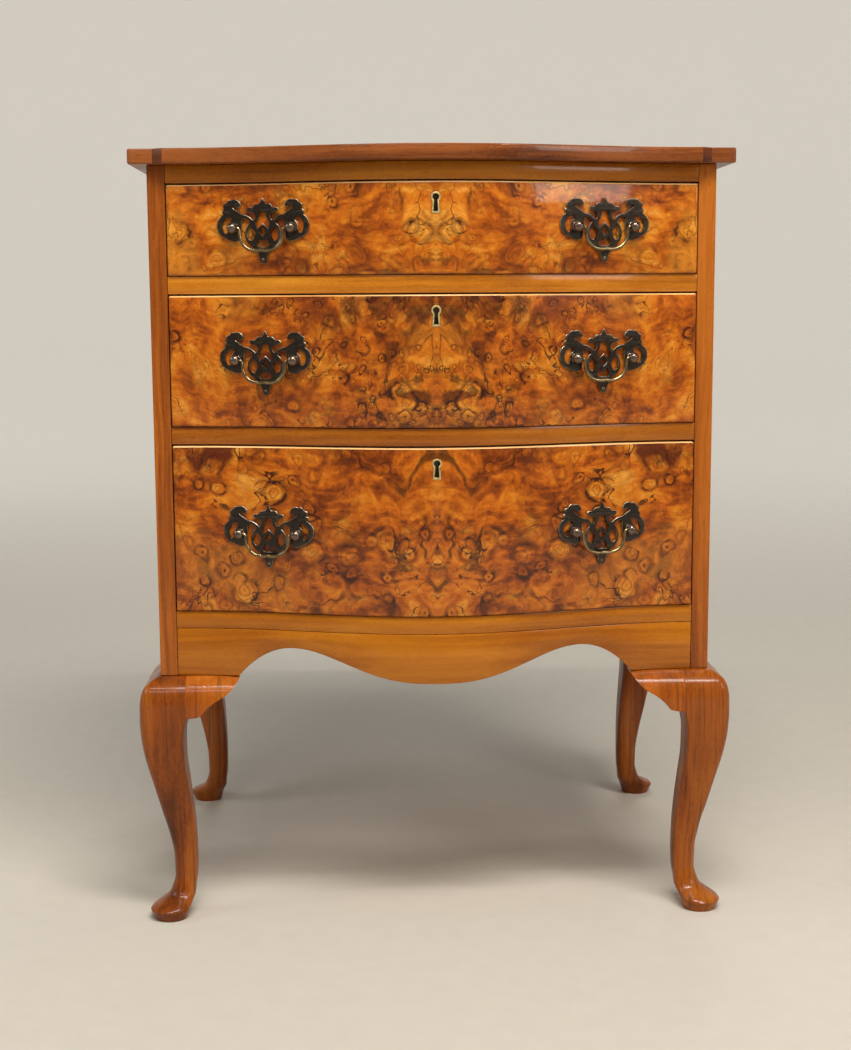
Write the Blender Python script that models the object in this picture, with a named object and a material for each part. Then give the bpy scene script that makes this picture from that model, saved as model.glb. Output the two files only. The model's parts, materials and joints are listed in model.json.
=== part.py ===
"""Bedside chest of three drawers with a serpentine front on cabriole legs.

Units are metres and +Z is up. The front faces -Y and the origin lies on the
floor under the middle of the piece. Inside the carcase, y is measured from the
front plane of the side panels.
"""

import math

import bmesh
import bpy

# Clearances
SEAT_GAP = 0.0003          # between pieces that are glued or screwed together
DRAWER_GAP = 0.001         # beside a drawer front
GAP_BELOW = 0.0005         # under a drawer
GAP_ABOVE = 0.0015         # over a drawer front
BEHIND_DRAWER = 0.010      # between a drawer and the back panel

# Carcase
CASE_HALF = 0.274          # half width over the side panels
CASE_DEPTH = 0.406         # front plane of the side panels to the back
SIDE_T = 0.017
BACK_T = 0.006
RAIL_H = 0.017
RAIL_BACK = 0.035          # rails reach this far behind the front plane
BOW = 0.0475               # swell of the serpentine front at the centre
KICKER_W = 0.022

# Top panel
TOP_T = 0.0145
TOP_OVERHANG = 0.017
TOP_STEP = 0.0065          # the square corners stand back by this much
TOP_FACET = 0.010          # width of the slanting facet beside each corner
TOP_CHAMFER = 0.003
TOP_EASE = 0.0014          # rounding of the top's edges

# Apron
APRON_H = 0.0478
APRON_T = 0.018
APRON_DROP = 0.0015        # the middle hangs this far below the carcase
APRON_ARCH = 0.0318        # rise of the two arches
ARCH_RUN = 0.055           # arch crest to arch end

# Legs and knee brackets
LEG_H = 0.252
LEG_LEDGE = 0.0028         # the leg's top stands out from the carcase
KNEE_REACH = 0.0205
ANKLE_SET = 0.0074         # the ankle lies inside the carcase line
TOE_REACH = 0.0168
BLANK_IN = 0.026           # the leg's block reaches inward
SHIN_IN = 0.0216
ANKLE_IN = 0.0304
HEEL_IN = 0.0230
EAR_T = 0.020
EAR_LEN = 0.0517           # from the leg's block to the bracket's tip
EAR_DROP = 0.0398
EAR_TIP = 0.0030

# Drawers
UPPER_H = 0.086
MIDDLE_H = 0.126
LOWER_H = 0.1635
FRONT_T = 0.020
FRONT_PROUD = 0.0025       # drawer fronts stand out from the rails
BOX_SET = 0.0005           # the box lies inside the front's ends
BOX_T = 0.009
BOX_DROP = 0.004           # the sides are lower than the front
BACK_DROP = 0.006          # the back is lower than the sides
BOTTOM_T = 0.005
BOTTOM_UP = 0.008
GROOVE = 0.004
GROOVE_STOP = 0.001
TAIL_LAP = 0.006           # wood left in front of the dovetails
TAIL_HALF = 0.0105
TAIL_FLARE = 0.0022
TAIL_PITCH = 0.034

# Locks and keyholes
LOCK_W = 0.046
LOCK_H = 0.034
LOCK_T = 0.012
LOCK_INSET = 0.004
LOCK_TOP = 0.0005
BOLT_W = 0.022
BOLT_H = 0.022
BOLT_T = 0.005
MORTISE_DEPTH = 0.0085
MORTISE_GAP = 0.001
KEYHOLE_DROP = 0.020       # keyhole centre below the drawer front's top edge
KEYHOLE_H = 0.020
KEYHOLE_R = 0.0048
KEYHOLE_NECK = 0.0037
KEYHOLE_WALL = 0.0017
ESCUTCHEON_T = 0.003

# Handles
HANDLE_INSET = 0.0935      # middle of a handle from the drawer front's end
HANDLE_UP = 0.0015         # posts lie above the middle of the drawer front
LOWER_HANDLE_UP = -0.0030  # on the deep drawer they lie below it
PLATE_HALF = 0.0458
PLATE_T = 0.002
POST_HALF = 0.0288
SHANK_R = 0.0022
BORE_GAP = 0.0005
NUT_R = 0.0048
NUT_T = 0.0035
COLLAR_R = 0.0044
NECK_R = 0.0031
BALL_R = 0.0049
PIVOT = 0.0075             # bail axis in front of the plate's back
BAIL_HALF = 0.0215
BAIL_DROP = 0.0215
BAIL_R = 0.0014
BAIL_SWELL = 0.0004
PIN_DEPTH = 0.0025
SOCKET_GAP = 0.0004

# Facet counts
CURVE_STEPS = 20
POST_SIDES = 8
PLATE_STEPS = 1

# Derived sizes
INNER_HALF = CASE_HALF - SIDE_T
DRAWER_HALF = INNER_HALF - DRAWER_GAP
HANDLE_X = DRAWER_HALF - HANDLE_INSET
APRON_TIP = CASE_HALF - BLANK_IN - SEAT_GAP - EAR_LEN
APRON_CREST = APRON_TIP - ARCH_RUN
TOP_HALF = CASE_HALF + TOP_OVERHANG
BACK_REACH = CASE_DEPTH + max(TOP_OVERHANG, KNEE_REACH)
FRONT_Y = (BOW + TOP_OVERHANG - BACK_REACH) / 2
BACK_FACE = CASE_DEPTH - BACK_T
APRON_TOP = LEG_H + APRON_H
DRAWER_HEIGHTS = {"lower": LOWER_H, "middle": MIDDLE_H, "upper": UPPER_H}
HANDLE_RISES = {"lower": LOWER_HANDLE_UP, "middle": HANDLE_UP, "upper": HANDLE_UP}
BOX_OUT = DRAWER_HALF - BOX_SET
BOX_IN = BOX_OUT - BOX_T
SHOULDER = FRONT_T - FRONT_PROUD + SEAT_GAP
BOX_BACK = BACK_FACE - BEHIND_DRAWER
LOCK_SEAT = FRONT_T - FRONT_PROUD - BOW - LOCK_INSET
BOLT_Y = LOCK_SEAT + SEAT_GAP + LOCK_T / 2

# Leg outline: share of the leg's height, reach outside the carcase, reach
# inside it, rounding of the outer corner, rounding of the other corners
LEG_ROWS = (
    (0.000, TOE_REACH - 0.0046, HEEL_IN - 0.0034, 0.0155, 0.0155),
    (0.014, TOE_REACH - 0.0032, HEEL_IN - 0.0022, 0.0172, 0.0163),
    (0.043, TOE_REACH, HEEL_IN, 0.0190, 0.0175),
    (0.049, TOE_REACH - 0.0014, HEEL_IN + 0.0006, 0.0186, 0.0168),
    (0.065, TOE_REACH - 0.0082, HEEL_IN + 0.0024, 0.0160, 0.0140),
    (0.086, TOE_REACH - 0.0168, HEEL_IN + 0.0046, 0.0125, 0.0113),
    (0.116, 0.0032 - ANKLE_SET, ANKLE_IN - 0.0021, 0.0104, 0.0092),
    (0.165, 0.0002 - ANKLE_SET, ANKLE_IN - 0.0005, 0.0090, 0.0080),
    (0.240, 0.0005 - ANKLE_SET, ANKLE_IN, 0.0085, 0.0072),
    (0.340, 0.0042 - ANKLE_SET, ANKLE_IN - 0.0006, 0.0082, 0.0062),
    (0.450, 0.0108 - ANKLE_SET, ANKLE_IN - 0.0026, 0.0084, 0.0054),
    (0.560, KNEE_REACH - 0.0106, SHIN_IN + 0.0034, 0.0088, 0.0046),
    (0.670, KNEE_REACH - 0.0042, SHIN_IN + 0.0008, 0.0092, 0.0040),
    (0.755, KNEE_REACH - 0.0010, SHIN_IN + 0.0006, 0.0095, 0.0036),
    (0.828, KNEE_REACH, BLANK_IN - 0.0010, 0.0095, 0.0022),
    (0.842, KNEE_REACH, BLANK_IN, 0.0095, 0.0015),
    (0.890, KNEE_REACH - 0.0002, BLANK_IN, 0.0094, 0.0015),
    (0.925, KNEE_REACH - 0.0012, BLANK_IN, 0.0088, 0.0015),
    (0.950, KNEE_REACH - 0.0032, BLANK_IN, 0.0078, 0.0015),
    (0.970, KNEE_REACH - 0.0064, BLANK_IN, 0.0064, 0.0015),
    (0.986, LEG_LEDGE + 0.0062, BLANK_IN, 0.0050, 0.0015),
    (1.000, LEG_LEDGE, BLANK_IN, 0.0035, 0.0015),
)

# Knee bracket outline: share of its length from the leg, share of its drop
EAR_ROWS = (
    (0.00, 1.00), (0.12, 0.985), (0.22, 0.965), (0.28, 0.935), (0.34, 0.84),
    (0.48, 0.66), (0.60, 0.555), (0.72, 0.465), (0.85, 0.325), (0.95, 0.165),
    (1.00, EAR_TIP / EAR_DROP),
)

# Heights at which a bracket's face is shaped, as shares of its own drop
EAR_STEPS = (0.0, 0.08, 0.17, 0.27, 0.40, 0.60, 0.80, 1.0)

# Pierced handle plate, right half, in millimetres from the middle of the post
# line: x, height, and whether the outline is smooth there
PLATE_EDGE = (
    (0.0, 27.2, False), (2.4, 25.6, True), (4.4, 23.4, False), (10.4, 21.8, True),
    (14.4, 19.6, True), (16.6, 17.6, False), (12.4, 16.8, True), (9.0, 15.0, True),
    (7.4, 12.2, True), (7.6, 9.4, True), (9.3, 6.9, False), (12.8, 9.9, True),
    (16.5, 12.0, True), (21.0, 12.9, False), (28.6, 18.2, False), (29.6, 19.6, True),
    (26.6, 20.4, True), (24.0, 19.0, True), (21.6, 21.4, True), (23.2, 24.8, True),
    (30.4, 26.8, True), (35.0, 24.6, True), (37.8, 23.2, False), (39.4, 20.6, True),
    (38.4, 17.8, False), (40.2, 15.2, True), (39.2, 13.2, False), (43.6, 9.0, True),
    (45.6, 3.4, True), (44.6, -2.2, True), (41.6, -6.6, True), (34.2, -10.4, True),
    (27.0, -12.0, True), (22.6, -10.4, False), (21.6, -5.0, True), (21.0, 2.0, True),
    (20.6, 8.9, False), (17.0, 8.7, True), (13.9, 7.0, True), (12.6, 4.9, False),
    (15.2, 2.4, True), (17.4, -2.0, True), (17.9, -6.6, True), (16.6, -11.4, True),
    (13.2, -16.0, True), (9.0, -18.8, True), (7.4, -20.6, False), (5.0, -25.4, True),
    (3.4, -30.6, True), (0.0, -32.3, True),
)

# Piercings on the right of the plate and those on its middle line
PLATE_SIDE_HOLES = (
    ((30.8, 9.6, True), (35.8, 9.4, True), (39.6, 4.6, True), (39.4, -1.2, True),
     (36.4, -5.0, True), (34.6, -1.0, True), (34.0, 4.0, True)),
    ((11.8, 1.0, False), (7.1, -4.8, False), (10.4, -12.0, False), (13.6, -10.6, True),
     (15.2, -6.0, True), (14.2, -1.2, True)),
)
PLATE_MIDDLE_HOLES = (
    ((3.4, 14.8, False), (3.6, 10.0, False), (6.9, 4.8, False), (5.3, -0.8, False),
     (0.0, 4.3, False)),
    ((0.0, 0.4, False), (3.4, -4.2, False), (0.0, -8.0, False)),
    ((0.0, -13.2, False), (3.6, -10.0, False), (5.8, -14.0, False), (5.0, -17.2, True),
     (0.0, -17.6, False)),
)

MATERIALS = {
    "burr_veneer": ((0.52, 0.22, 0.045), 0.30, 0.0),
    "walnut_rail": ((0.46, 0.20, 0.040), 0.32, 0.0),
    "walnut_case": ((0.34, 0.12, 0.030), 0.32, 0.0),
    "walnut_leg": ((0.27, 0.085, 0.022), 0.28, 0.0),
    "drawer_lining": ((0.55, 0.36, 0.17), 0.55, 0.0),
    "back_board": ((0.36, 0.21, 0.10), 0.60, 0.0),
    "dark_bronze": ((0.055, 0.042, 0.032), 0.38, 1.0),
    "worn_brass": ((0.60, 0.42, 0.15), 0.30, 1.0),
    "lock_steel": ((0.40, 0.38, 0.35), 0.42, 1.0),
}


def clear_scene():
    """Remove every object of the open scene."""
    for item in list(bpy.data.objects):
        bpy.data.objects.remove(item, do_unlink=True)


def material(name):
    """Return the named material, made once from MATERIALS."""
    found = bpy.data.materials.get(name)
    if found:
        return found
    colour, roughness, metallic = MATERIALS[name]
    made = bpy.data.materials.new(name)
    made.use_nodes = True
    shader = made.node_tree.nodes["Principled BSDF"]
    shader.inputs["Base Color"].default_value = (*colour, 1.0)
    shader.inputs["Roughness"].default_value = roughness
    shader.inputs["Metallic"].default_value = metallic
    return made


def empty(name, location, parent=None, turn=0.0):
    """Add an empty that carries other pieces, turned about Z."""
    holder = bpy.data.objects.new(name, None)
    holder.location = location
    holder.rotation_euler = (0.0, 0.0, turn)
    holder.parent = parent
    bpy.context.collection.objects.link(holder)
    return holder


def solid(name, points, faces, finish, parent, location=(0.0, 0.0, 0.0)):
    """Make one closed mesh object with its faces turned outward."""
    mesh = bpy.data.meshes.new(name)
    mesh.from_pydata(points, [], faces)
    work = bmesh.new()
    work.from_mesh(mesh)
    bmesh.ops.recalc_face_normals(work, faces=work.faces)
    work.to_mesh(mesh)
    work.free()
    mesh.materials.append(material(finish))
    body = bpy.data.objects.new(name, mesh)
    body.location = location
    body.parent = parent
    bpy.context.collection.objects.link(body)
    return body


def loft(name, rings, finish, parent, location=(0.0, 0.0, 0.0)):
    """Skin a list of equal rings and close both ends."""
    size = len(rings[0])
    points = [point for ring in rings for point in ring]
    faces = []
    for row in range(len(rings) - 1):
        for step in range(size):
            following = (step + 1) % size
            faces.append((row * size + step, row * size + following,
                          (row + 1) * size + following, (row + 1) * size + step))
    last = (len(rings) - 1) * size
    faces.append(tuple(range(size)))
    faces.append(tuple(range(last, last + size)))
    return solid(name, points, faces, finish, parent, location)


def block(name, low, high, finish, parent, location=(0.0, 0.0, 0.0)):
    """Make a square-edged board between two opposite corners."""
    rings = [[(x, low[1], low[2]), (x, high[1], low[2]), (x, high[1], high[2]), (x, low[1], high[2])]
             for x in (low[0], high[0])]
    return loft(name, rings, finish, parent, location)


def plan_board(name, outline, low, high, finish, parent):
    """Extrude a plan outline of (x, y) points upward."""
    rings = [[(x, y, z) for x, y in outline] for z in (low, high)]
    return loft(name, rings, finish, parent)


def cutter(body):
    """Mark a body as a cutting tool that is not part of the chest."""
    body.hide_render = True
    body.display_type = "WIRE"
    return body


def combine(target, tool, operation):
    """Cut a tool out of a body, or join it on."""
    cutter(tool)
    change = target.modifiers.new(operation.lower(), "BOOLEAN")
    change.operation = operation
    change.solver = "EXACT"
    change.object = tool


def bow_at(x):
    """Forward swell of the serpentine line at x."""
    share = min(1.0, abs(x) / INNER_HALF)
    return BOW * (1.0 + math.cos(math.pi * share)) / 2.0


def spread(half, count):
    """Evenly spaced values from -half to half."""
    return [half * (2.0 * step / count - 1.0) for step in range(count + 1)]


def stack_heights():
    """Work out the heights of the rails and drawers from the floor up.

    Returns the underside of each rail from bottom to top, and the bottom of
    each drawer.
    """
    rails = [APRON_TOP + SEAT_GAP]
    drawers = {}
    for name, height in DRAWER_HEIGHTS.items():
        drawers[name] = rails[-1] + RAIL_H + GAP_BELOW
        rails.append(drawers[name] + height + GAP_ABOVE)
    return rails, drawers


def serpentine_board(name, low, high, front, back, half, finish, parent):
    """Board with a serpentine front; front and back give y at each x."""
    rings = [[(x, front(x), low), (x, back(x), low), (x, back(x), high), (x, front(x), high)]
             for x in spread(half, CURVE_STEPS)]
    return loft(name, rings, finish, parent)


def top_outline():
    """Plan of the top panel, counted from the front left round to the back."""
    front = [(x, -TOP_OVERHANG - bow_at(x)) for x in spread(INNER_HALF, CURVE_STEPS)]
    corner_y = TOP_STEP - TOP_OVERHANG
    right = [(INNER_HALF + TOP_FACET, corner_y),
             (TOP_HALF - TOP_CHAMFER, corner_y),
             (TOP_HALF, corner_y + TOP_CHAMFER),
             (TOP_HALF, CASE_DEPTH + TOP_OVERHANG)]
    left = [(-x, y) for x, y in reversed(right)]
    return front + right + left


def apron_edge(x):
    """Height of the apron's lower edge at x."""
    reach = abs(x)
    crest = LEG_H - APRON_DROP + APRON_ARCH
    if reach >= APRON_TIP:
        return LEG_H
    if reach <= APRON_CREST:
        share = (reach / APRON_CREST) ** 1.33
        return crest - APRON_ARCH * (1.0 + math.cos(math.pi * share)) / 2.0
    share = (reach - APRON_CREST) / (APRON_TIP - APRON_CREST)
    return crest - (crest - LEG_H) * share ** 2.1


def apron_rings():
    """Sections of the apron, closer together along its arches."""
    half = INNER_HALF - SEAT_GAP
    middle = spread(APRON_CREST, 22)
    side = [APRON_CREST + (APRON_TIP - APRON_CREST) * step / 7 for step in range(1, 8)]
    outer = [(APRON_TIP + half) / 2, half]
    right = side + outer
    places = [-x for x in reversed(right)] + middle + right
    rings = []
    for x in places:
        front = -bow_at(x)
        rings.append([(x, front, apron_edge(x)), (x, front + APRON_T, apron_edge(x)),
                      (x, front + APRON_T, APRON_TOP), (x, front, APRON_TOP)])
    return rings


def rounded_square(outer, inner, outer_round, other_round):
    """Section of a leg; u and v grow outward from the carcase corner."""
    corners = ((outer, outer, 1, 1, outer_round), (-inner, outer, -1, 1, other_round),
               (-inner, -inner, -1, -1, other_round), (outer, -inner, 1, -1, other_round))
    ring = []
    for number, (u, v, sign_u, sign_v, wanted) in enumerate(corners):
        radius = min(wanted, 0.49 * (outer + inner))
        start = number * math.pi / 2
        for step in range(4):
            angle = start + step * math.pi / 6
            ring.append((u - sign_u * radius + radius * math.cos(angle),
                         v - sign_v * radius + radius * math.sin(angle)))
    return ring


def knee_reach(height):
    """Reach of the knee in front of the carcase at a height over the floor."""
    share = height / LEG_H
    for low, high in zip(LEG_ROWS, LEG_ROWS[1:]):
        if share <= high[0]:
            part = (share - low[0]) / (high[0] - low[0])
            return low[1] + part * (high[1] - low[1])
    return LEG_ROWS[-1][1]


def make_leg(name, side, end, parent):
    """Cabriole leg at a carcase corner; side is +1 right, end is -1 front."""
    corner_x = side * CASE_HALF
    corner_y = 0.0 if end < 0 else CASE_DEPTH
    rings = []
    for share, outer, inner, outer_round, other_round in LEG_ROWS:
        height = share * (LEG_H - SEAT_GAP)
        ring = rounded_square(outer, inner, outer_round, other_round)
        rings.append([(corner_x + side * u, corner_y + end * v, height) for u, v in ring])
    return loft(name, rings, "walnut_leg", parent)


def ear_sections(length):
    """Sections of a knee bracket: distance from the leg, then (reach, z)."""
    top = LEG_H - SEAT_GAP
    sections = []
    for along, drop in EAR_ROWS:
        low = LEG_H - drop * EAR_DROP
        heights = [top + (low - top) * step for step in EAR_STEPS]
        line = [(knee_reach(z), z) for z in heights]
        sections.append((along * length, [(-EAR_T, top)] + line + [(-EAR_T, low)]))
    return sections


def make_ear(name, side, end, along_front, parent):
    """Knee bracket beside a leg, along the front or along the carcase side."""
    start = BLANK_IN + SEAT_GAP
    corner_y = 0.0 if end < 0 else CASE_DEPTH
    rings = []
    for along, line in ear_sections(EAR_LEN):
        inward = start + along
        if along_front:
            rings.append([(side * (CASE_HALF - inward), corner_y + end * reach, z) for reach, z in line])
        else:
            rings.append([(side * (CASE_HALF + reach), corner_y - end * inward, z) for reach, z in line])
    return loft(name, rings, "walnut_leg", parent)


def make_carcase(base, rails):
    """Build the fixed boards, legs and knee brackets."""
    case_top = rails[-1] + RAIL_H
    inside = INNER_HALF - SEAT_GAP

    def front(x):
        return -bow_at(x)

    def rail_back(_x):
        return RAIL_BACK

    top = plan_board("top_panel", top_outline(), case_top + SEAT_GAP, case_top + SEAT_GAP + TOP_T,
                     "walnut_case", base)
    ease = top.modifiers.new("ease", "BEVEL")
    ease.width = TOP_EASE
    ease.segments = 2
    ease.limit_method = "ANGLE"
    ease.angle_limit = math.radians(60)
    for name, side in (("left_side_panel", -1), ("right_side_panel", 1)):
        faces_x = sorted((side * INNER_HALF, side * CASE_HALF))
        block(name, (faces_x[0], 0.0, LEG_H), (faces_x[1], CASE_DEPTH, case_top), "walnut_case", base)
    block("back_panel", (-inside, BACK_FACE, LEG_H), (inside, CASE_DEPTH, case_top), "back_board", base)

    names = ("bottom_rail", "lower_rail", "upper_rail", "top_rail")
    for number, name in enumerate(names):
        rail = serpentine_board(name, rails[number], rails[number] + RAIL_H, front, rail_back,
                                inside, "walnut_rail", base)
        if number > 0:
            half_x = BOLT_W / 2 + MORTISE_GAP
            half_y = BOLT_T / 2 + MORTISE_GAP
            mortise = block("mortise_" + name,
                            (-half_x, BOLT_Y - half_y, rails[number] - MORTISE_GAP),
                            (half_x, BOLT_Y + half_y, rails[number] + MORTISE_DEPTH),
                            "walnut_rail", base)
            combine(rail, mortise, "DIFFERENCE")
    loft("apron", apron_rings(), "walnut_rail", base)

    board_front = RAIL_BACK + SEAT_GAP
    board_back = BACK_FACE - SEAT_GAP
    for name, low in zip(("bottom_board", "lower_dustboard", "upper_dustboard"), rails):
        block(name, (-inside, board_front, low), (inside, board_back, low + RAIL_H), "drawer_lining", base)
    for name, side in (("left_kicker", -1), ("right_kicker", 1)):
        faces_x = sorted((side * inside, side * (inside - KICKER_W)))
        block(name, (faces_x[0], board_front, rails[-1]), (faces_x[1], board_back, case_top),
              "drawer_lining", base)

    for side_name, side in (("left", -1), ("right", 1)):
        make_leg("front_" + side_name + "_leg", side, -1, base)
        make_leg("back_" + side_name + "_leg", side, 1, base)
        make_ear("front_" + side_name + "_knee_bracket", side, -1, True, base)
        make_ear("side_front_" + side_name + "_knee_bracket", side, -1, False, base)
        make_ear("side_back_" + side_name + "_knee_bracket", side, 1, False, base)


def front_face(x):
    """Drawer front's outer face at x, from the carcase front plane."""
    return -FRONT_PROUD - bow_at(x)


def inner_face(x):
    """Drawer front's inner face at x."""
    return front_face(x) + FRONT_T


def tail_centres(height):
    """Heights of the dovetails on a drawer side of the given height."""
    usable = height - BOX_DROP
    count = max(2, int(usable / TAIL_PITCH))
    return [usable * (number + 0.5) / count for number in range(count)]


def side_outline(height):
    """Drawer side seen from the side, with its dovetails, as (y, z)."""
    top = height - BOX_DROP
    tip = TAIL_LAP - FRONT_PROUD + SEAT_GAP
    root_half = TAIL_HALF - TAIL_FLARE
    outline = [(BOX_BACK, 0.0), (SHOULDER, 0.0)]
    for middle in tail_centres(height):
        outline += [(SHOULDER, middle - root_half), (tip, middle - TAIL_HALF),
                    (tip, middle + TAIL_HALF), (SHOULDER, middle + root_half)]
    return outline + [(SHOULDER, top), (BOX_BACK, top)]


def socket_rings(height, side):
    """Closed prisms that cut the dovetail sockets at one end of a front."""
    tip = TAIL_LAP - FRONT_PROUD
    slope = TAIL_FLARE / (SHOULDER - TAIL_LAP + FRONT_PROUD - SEAT_GAP)
    run = 0.004
    end = SHOULDER + run
    tip_half = TAIL_HALF + SEAT_GAP
    end_half = tip_half - slope * (end - tip)
    x_in = side * (BOX_IN - SEAT_GAP)
    x_out = side * (DRAWER_HALF + run)
    prisms = []
    for middle in tail_centres(height):
        shape = [(tip, middle - tip_half), (end, middle - end_half),
                 (end, middle + end_half), (tip, middle + tip_half)]
        prisms.append([[(x, y, z) for y, z in shape] for x in (x_in, x_out)])
    return prisms


def join_rings(name, groups, parent):
    """Make one cutting tool from several separate lofted bodies."""
    points = []
    faces = []
    for rings in groups:
        size = len(rings[0])
        base = len(points)
        points += [point for ring in rings for point in ring]
        for row in range(len(rings) - 1):
            for step in range(size):
                following = (step + 1) % size
                faces.append((base + row * size + step, base + row * size + following,
                              base + (row + 1) * size + following, base + (row + 1) * size + step))
        last = base + (len(rings) - 1) * size
        faces.append(tuple(range(base, base + size)))
        faces.append(tuple(range(last, last + size)))
    return solid(name, points, faces, "drawer_lining", parent)


def groove_rings():
    """Groove along a drawer front's inner face for the bottom board."""
    half = BOX_IN - GROOVE_STOP
    low = BOTTOM_UP - SEAT_GAP
    high = BOTTOM_UP + BOTTOM_T + SEAT_GAP
    rings = []
    for x in spread(half, CURVE_STEPS):
        deep = inner_face(x) - GROOVE
        clear = inner_face(x) + GROOVE
        rings.append([(x, deep, low), (x, clear, low), (x, clear, high), (x, deep, high)])
    return rings


def bottom_outline():
    """Plan of a drawer bottom, let into the front and both sides."""
    half = BOX_IN - GROOVE_STOP - SEAT_GAP
    edge = BOX_IN + GROOVE - SEAT_GAP
    shoulder = SHOULDER + GROOVE_STOP + SEAT_GAP
    front = [(x, inner_face(x) - GROOVE + SEAT_GAP) for x in spread(half, CURVE_STEPS)]
    right = [(half, shoulder), (edge, shoulder), (edge, BOX_BACK)]
    left = [(-x, y) for x, y in reversed(right)]
    return front + right + left


def keyhole_outline(shrink):
    """Keyhole shape about its own centre as (x, z), drawn in by shrink."""
    head = KEYHOLE_R - shrink
    neck = KEYHOLE_NECK - shrink
    head_z = KEYHOLE_H / 2 - KEYHOLE_R
    start = -math.acos(neck / head)
    sweep = math.pi - 2 * start
    outline = [(-neck, -KEYHOLE_H / 2 + shrink), (neck, -KEYHOLE_H / 2 + shrink)]
    for step in range(13):
        angle = start + sweep * step / 12
        outline.append((head * math.cos(angle), head_z + head * math.sin(angle)))
    return outline


def keyhole_prism(outline, middle, near, far):
    """Rings of a keyhole shape running from y near to y far."""
    return [[(x, y, middle + z) for x, z in outline] for y in (near, far)]


def make_lock(name, height, front, holder):
    """Fit the lock, its bolt and the escutcheon, and cut the drawer front."""
    middle = height - KEYHOLE_DROP
    face = front_face(0.0)
    reach = FRONT_T
    recess = block(name + "_lock_recess",
                   (-LOCK_W / 2 - SEAT_GAP, LOCK_SEAT, height - LOCK_H - SEAT_GAP),
                   (LOCK_W / 2 + SEAT_GAP, LOCK_SEAT + reach, height + LOCK_INSET),
                   "lock_steel", holder)
    combine(front, recess, "DIFFERENCE")
    hole = loft(name + "_keyhole", keyhole_prism(keyhole_outline(KEYHOLE_WALL), middle, face - reach,
                                                 face + 2 * reach), "lock_steel", holder)
    combine(front, hole, "DIFFERENCE")
    seat = loft(name + "_escutcheon_seat",
                keyhole_prism(keyhole_outline(-SEAT_GAP), middle, face - reach,
                              face + ESCUTCHEON_T + SEAT_GAP), "lock_steel", holder)
    combine(front, seat, "DIFFERENCE")

    outer = keyhole_outline(0.0)
    inner = keyhole_outline(KEYHOLE_WALL)
    size = len(outer)
    points = []
    for outline, y in ((outer, face), (outer, face + ESCUTCHEON_T), (inner, face + ESCUTCHEON_T),
                       (inner, face)):
        points += [(x, y, middle + z) for x, z in outline]
    faces = []
    for row in range(4):
        for step in range(size):
            following = (step + 1) % size
            next_row = (row + 1) % 4
            faces.append((row * size + step, row * size + following,
                          next_row * size + following, next_row * size + step))
    solid(name + "_escutcheon", points, faces, "worn_brass", holder)

    top = height - LOCK_TOP
    case = block(name + "_lock_case", (-LOCK_W / 2, LOCK_SEAT + SEAT_GAP, height - LOCK_H),
                 (LOCK_W / 2, LOCK_SEAT + SEAT_GAP + LOCK_T, top), "lock_steel", holder)
    half_x = BOLT_W / 2 + SEAT_GAP
    half_y = BOLT_T / 2 + SEAT_GAP
    slot = block(name + "_bolt_slot", (-half_x, BOLT_Y - half_y, top - BOLT_H - SEAT_GAP),
                 (half_x, BOLT_Y + half_y, top + LOCK_INSET), "lock_steel", holder)
    combine(case, slot, "DIFFERENCE")
    key_way = loft(name + "_key_way", keyhole_prism(keyhole_outline(KEYHOLE_WALL), middle,
                                                    LOCK_SEAT - SEAT_GAP, BOLT_Y), "lock_steel", holder)
    combine(case, key_way, "DIFFERENCE")
    block(name + "_lock_bolt", (-BOLT_W / 2, -BOLT_T / 2, -BOLT_H / 2),
          (BOLT_W / 2, BOLT_T / 2, BOLT_H / 2), "lock_steel", holder,
          (0.0, BOLT_Y, top - BOLT_H / 2))


def handle_frame(side):
    """Seat of a handle plate on the curved front: x, y and turn about Z."""
    middle = side * HANDLE_X
    turn = 0.0
    for _ in range(8):
        reach = PLATE_HALF * math.cos(turn)
        left_y = front_face(middle - reach)
        right_y = front_face(middle + reach)
        turn = math.atan2(right_y - left_y, 2 * reach)
    seat = (left_y + right_y) / 2
    return middle + SEAT_GAP * math.sin(turn), seat - SEAT_GAP * math.cos(turn), turn


def depth_to_inside(frame, along):
    """Distance from the plate's back to the drawer front's inner face."""
    middle, seat, turn = frame
    depth = FRONT_T
    for _ in range(20):
        x = middle + along * math.cos(turn) - depth * math.sin(turn)
        y = seat + along * math.sin(turn) + depth * math.cos(turn)
        depth += (inner_face(x) - y) / math.cos(turn)
    return depth


def plate_curve(name, outlines):
    """Flat filled curve through closed outlines of (x, z, smooth)."""
    shape = bpy.data.curves.new(name, "CURVE")
    shape.dimensions = "2D"
    shape.fill_mode = "BOTH"
    shape.extrude = PLATE_T / 2
    shape.resolution_u = PLATE_STEPS
    for outline in outlines:
        line = shape.splines.new("BEZIER")
        line.bezier_points.add(len(outline) - 1)
        for knot, (x, z, smooth) in zip(line.bezier_points, outline):
            knot.co = (x, z, 0.0)
            kind = "AUTO" if smooth else "VECTOR"
            knot.handle_left_type = kind
            knot.handle_right_type = kind
        line.use_cyclic_u = True
    return shape


def mirrored(half, closed_on_axis):
    """Add the left half to an outline given for x >= 0."""
    left = [(-x, z, smooth) for x, z, smooth in reversed(half) if x > 0.0]
    return list(half) + left if closed_on_axis else left


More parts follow.
